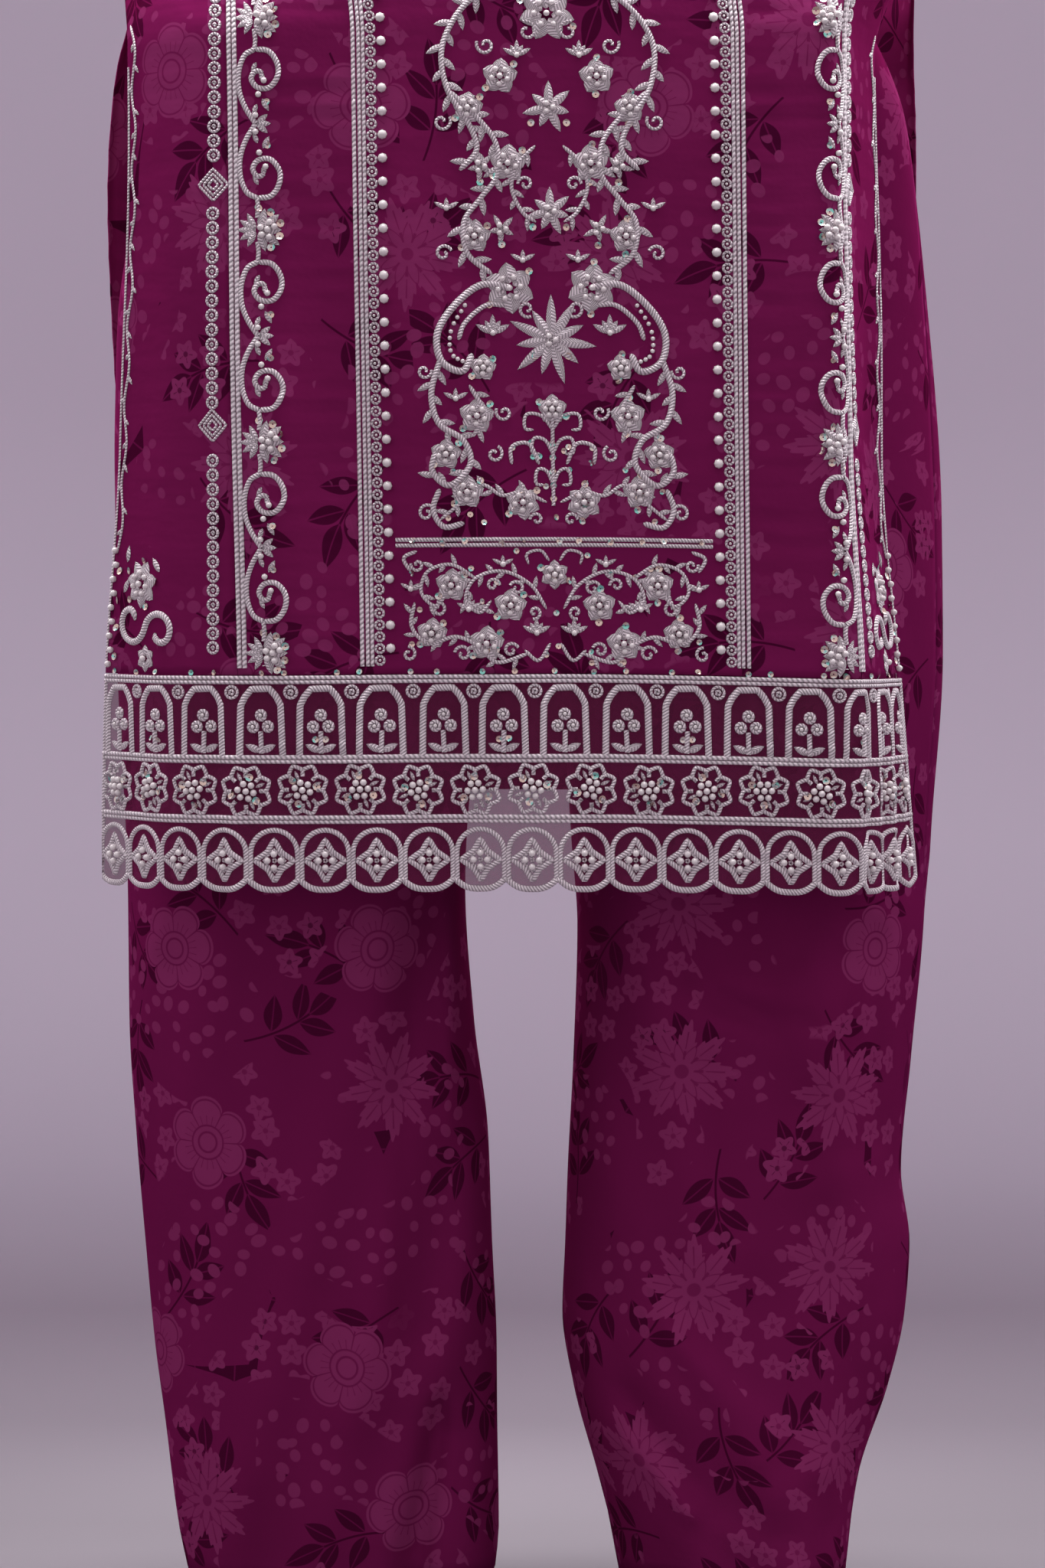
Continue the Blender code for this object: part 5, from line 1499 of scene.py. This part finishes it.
def border_work():
    """The border: arches with trefoils, star flowers, scallops with diamonds, and the lines between."""
    lines = Work("border_lines", front, bugle)
    beads = Beads(front)
    for z, width in ((-0.8402, 0.0023), (-0.8428, 0.0023), (-0.8868, 0.0026), (-0.8894, 0.0022),
                     (-0.9222, 0.0026), (-0.9248, 0.0022)):
        s = border_s(np.linspace(0.002, 0.998, 200), z)
        lines.cord(np.stack([s, np.full(200, z)], axis=1), width)
    for k in range(26):
        share = 0.02 + 0.96 * k / 25 + 0.008 * math.sin(k * 2.9)
        beads.sequin(float(border_s(share, -0.8372)), -0.8372, 0.0018)
    lines.build(replaced=("border_cord_1", "border_cord_2", "border_cord_3"))

    arches = Work("border_arches", front, thread)
    count = 16
    for k in range(count):
        s = float(border_s((k + 0.5) / count, -0.865))
        lean = 0.0006 * math.sin(k * 2.3)
        outline = [(-0.0127, -0.8862), (-0.0124, -0.8700), (-0.0120, -0.8565), (-0.0095, -0.8515),
                   (-0.0055, -0.8468), (0.0055, -0.8465), (0.0095, -0.8510), (0.0121, -0.8562),
                   (0.0124, -0.8700), (0.0128, -0.8862)]
        arches.cord([(s + u + lean, v) for u, v in outline], 0.0040, 0.0014)
        for u, v in ((-0.0045, -0.8690), (0.0045, -0.8688), (lean, -0.8622)):
            arches.ring(s + u, v, 0.0027, 0.0024)
            beads.pearl(s + u, v, 0.0013, 0.0004)
        arches.cord([(s, -0.8715), (s + lean, -0.8845)], 0.0030)
        for flip in (1, -1):
            arches.leaf(s, -0.8835, math.pi / 2 - flip * 1.15, 0.0100, 0.0044)
            if k % 3 == 1:
                beads.sequin(s + flip * 0.0030, -0.8765, 0.0020)
        if k:
            dot = float(border_s(k / count, -0.850))
            arches.ring(dot, -0.8487, 0.0036, 0.0018)
            arches.ring(dot, -0.8487, 0.0014, 0.0018)
    arches.build()

    flowers = Work("border_flowers", front, thread)
    count = 17
    for k in range(count):
        s, z = float(border_s((k + 0.5) / count, -0.906)), -0.9062 + 0.0006 * math.sin(k * 1.7)
        for j in range(8):
            a = 2 * math.pi * (j + 0.5) / 8 + 0.05 * math.sin(k * 3.1)
            c, w = (math.cos(a), math.sin(a)), (-math.sin(a), math.cos(a))
            lobe = curve([(0.0074, -0.0030), (0.0108, -0.0043), (0.0134, -0.0022), (0.0150, 0.0),
                          (0.0134, 0.0022), (0.0108, 0.0043), (0.0074, 0.0030)], 4)
            outline = [(s + r * c[0] + t * w[0], z + r * c[1] + t * w[1]) for r, t in lobe]
            flowers.cord(outline, 0.0024, 0.0012)
            if j % 2 == 0:
                flowers.leaf(s + 0.0060 * c[0], z + 0.0060 * c[1], a, 0.0060, 0.0022)
        for j in range(6):
            a = 2 * math.pi * j / 6 + 0.3 * math.sin(k * 1.3)
            beads.pearl(s + 0.0045 * math.cos(a), z + 0.0045 * math.sin(a), 0.0021, 0.0003)
            if j % 2 == k % 2:
                beads.sequin(s + 0.0082 * math.cos(a + 0.5), z + 0.0082 * math.sin(a + 0.5), 0.0024)
        beads.pearl(s, z, 0.0021, 0.0010)
    flowers.build()

    scallops = Work("border_scallops", front, thread)
    for k in range(SCALLOPS):
        s = float(border_s((k + 0.5) / SCALLOPS, -0.948))
        half = (float(border_s(1, -0.948)) - float(border_s(0, -0.948))) / SCALLOPS / 2 - 0.0012
        arch = [(math.cos(t), math.sin(t)) for t in np.linspace(math.pi, 0, 13)]
        path = [(s + half * c, -0.9430 + 0.0135 * w) for c, w in arch]
        path = [(s - half, -0.9590)] + path + [(s + half, -0.9590)]
        scallops.cord(path, 0.0030, 0.0013)
        star = [(0, 0.0122), (0.0042, 0.0052), (0.0116, 0), (0.0042, -0.0052), (0, -0.0122),
                (-0.0042, -0.0052), (-0.0116, 0), (-0.0042, 0.0052)]
        scallops.cord([(s + u, -0.9475 + v) for u, v in star], 0.0032, 0.0011, closed=True)
        scallops.cord([(s, -0.9475 + 0.0068), (s + 0.0066, -0.9475), (s, -0.9475 - 0.0068),
                       (s - 0.0066, -0.9475)], 0.0014, closed=True)
        for du, dv in ((0, 0.0040), (0.0040, 0), (0, -0.0040), (-0.0040, 0)):
            beads.pearl(s + du, -0.9475 + dv, 0.0021, 0.0003)
        scallops.ring(s, -0.9475, 0.0012, 0.0012)
    share = np.linspace(0.001, 0.999, SCALLOPS * 24)
    z = scallop_z(share) + 0.0019
    s = border_s(share, SCALLOP_Z)
    scallops.cord(np.stack([s, z], axis=1), 0.0036, 0.0013)
    for flip in (0.004, 0.996):
        z = np.linspace(-0.840, -0.962, 40)
        scallops.cord(np.stack([[float(border_s(flip, h)) for h in z], z], axis=1), 0.0022)
    scallops.build()
    beads.build("border")


centre_work()
for side, tail in ((1, "left"), (-1, "right")):
    braid_work(side, tail)
    side_work(side, tail)
    corner_work(side, tail)
border_work()


# Studio

FLOOR_GAP, WALL_Y, WALL_TOP_Z, BEND_R, REACH = 0.022, 2.4, 4.0, 0.9, 6.0
TONE_FROM_Y, TONE_OVER = 0.2, 2.0  # the backdrop pales from this place, over this distance
# painted shade: the floor in front is coloured darker, and pales into the wall's tones
NEAR_SHADE_TONE = (0.190, 0.165, 0.190, 1)
FAR_TONES = (0.560, 0.500, 0.600, 1), (0.600, 0.540, 0.640, 1)


def build_stage():
    """A pale floor that curves up into a plain backdrop, with painted shade darkening the floor in front."""
    floor_z = cad_box[0][2] - FLOOR_GAP
    profile = [(-REACH, floor_z)]
    for a in np.linspace(0, math.pi / 2, 24):
        profile.append((WALL_Y - BEND_R + BEND_R * math.sin(a), floor_z + BEND_R * (1 - math.cos(a))))
    profile.append((WALL_Y, WALL_TOP_Z))
    across = np.linspace(-REACH, REACH, 3)
    verts = np.array([(x, y, z) for y, z in profile for x in across])
    n = len(profile)
    i, j = np.meshgrid(np.arange(n - 1), np.arange(2), indexing="ij")
    i, j = i.ravel(), j.ravel()
    quads = np.stack([i * 3 + j, i * 3 + j + 1, (i + 1) * 3 + j + 1, (i + 1) * 3 + j], axis=1)
    g = Graph("backdrop")
    coords = g.node("TexCoord").outputs["Object"]
    tone = g.noise(coords, 2.0, 3.0)
    _, away, _ = g.split(coords)
    wall_tone = g.mix(tone, *FAR_TONES)
    # painted shade: dark at the front of the floor, paling towards the wall
    colour = g.mix(((away - TONE_FROM_Y) / TONE_OVER).clip(), NEAR_SHADE_TONE, wall_tone)
    g.put(colour, g.shader.inputs["Base Color"])
    g.shader.inputs["Roughness"].default_value = 0.75
    floor = make_piece("studio_floor", verts, [quads], None, g.material)


def area_light(name, place, aim, size, power):
    """A soft box that faces a point."""
    lamp = bpy.data.lights.new(name, "AREA")
    lamp.shape = "RECTANGLE"
    lamp.size, lamp.size_y = size
    lamp.energy = power
    obj = bpy.data.objects.new(name, lamp)
    bpy.context.scene.collection.objects.link(obj)
    place, aim = np.array(place, float), np.array(aim, float)
    z = (place - aim) / np.linalg.norm(place - aim)
    x = np.cross([0, 0, 1.0], z)
    x /= np.linalg.norm(x)
    y = np.cross(z, x)
    obj.matrix_world = [[x[0], y[0], z[0], place[0]], [x[1], y[1], z[1], place[1]],
                        [x[2], y[2], z[2], place[2]], [0, 0, 0, 1]]


build_stage()
area_light("key", (-1.4, -2.7, 1.2), (0, 0, -0.85), (1.0, 1.0), 74)
area_light("fill", (1.9, -2.4, 0.2), (0, 0, -0.9), (1.8, 2.0), 18)
world = bpy.data.worlds.new("studio")
bpy.context.scene.world = world
world.use_nodes = True
world.node_tree.nodes["Background"].inputs["Color"].default_value = (1.0, 0.96, 1.0, 1)
world.node_tree.nodes["Background"].inputs["Strength"].default_value = 0.80
bpy.context.scene.view_settings.view_transform = "Standard"

camera = bpy.data.cameras.new("camera")
camera.lens = 85
camera.sensor_width = 36
view = bpy.data.objects.new("camera", camera)
view.location = (-0.003, -2.318, -0.79)
view.rotation_euler = (math.radians(87), 0, 0)
bpy.context.scene.collection.objects.link(view)
bpy.context.scene.camera = view
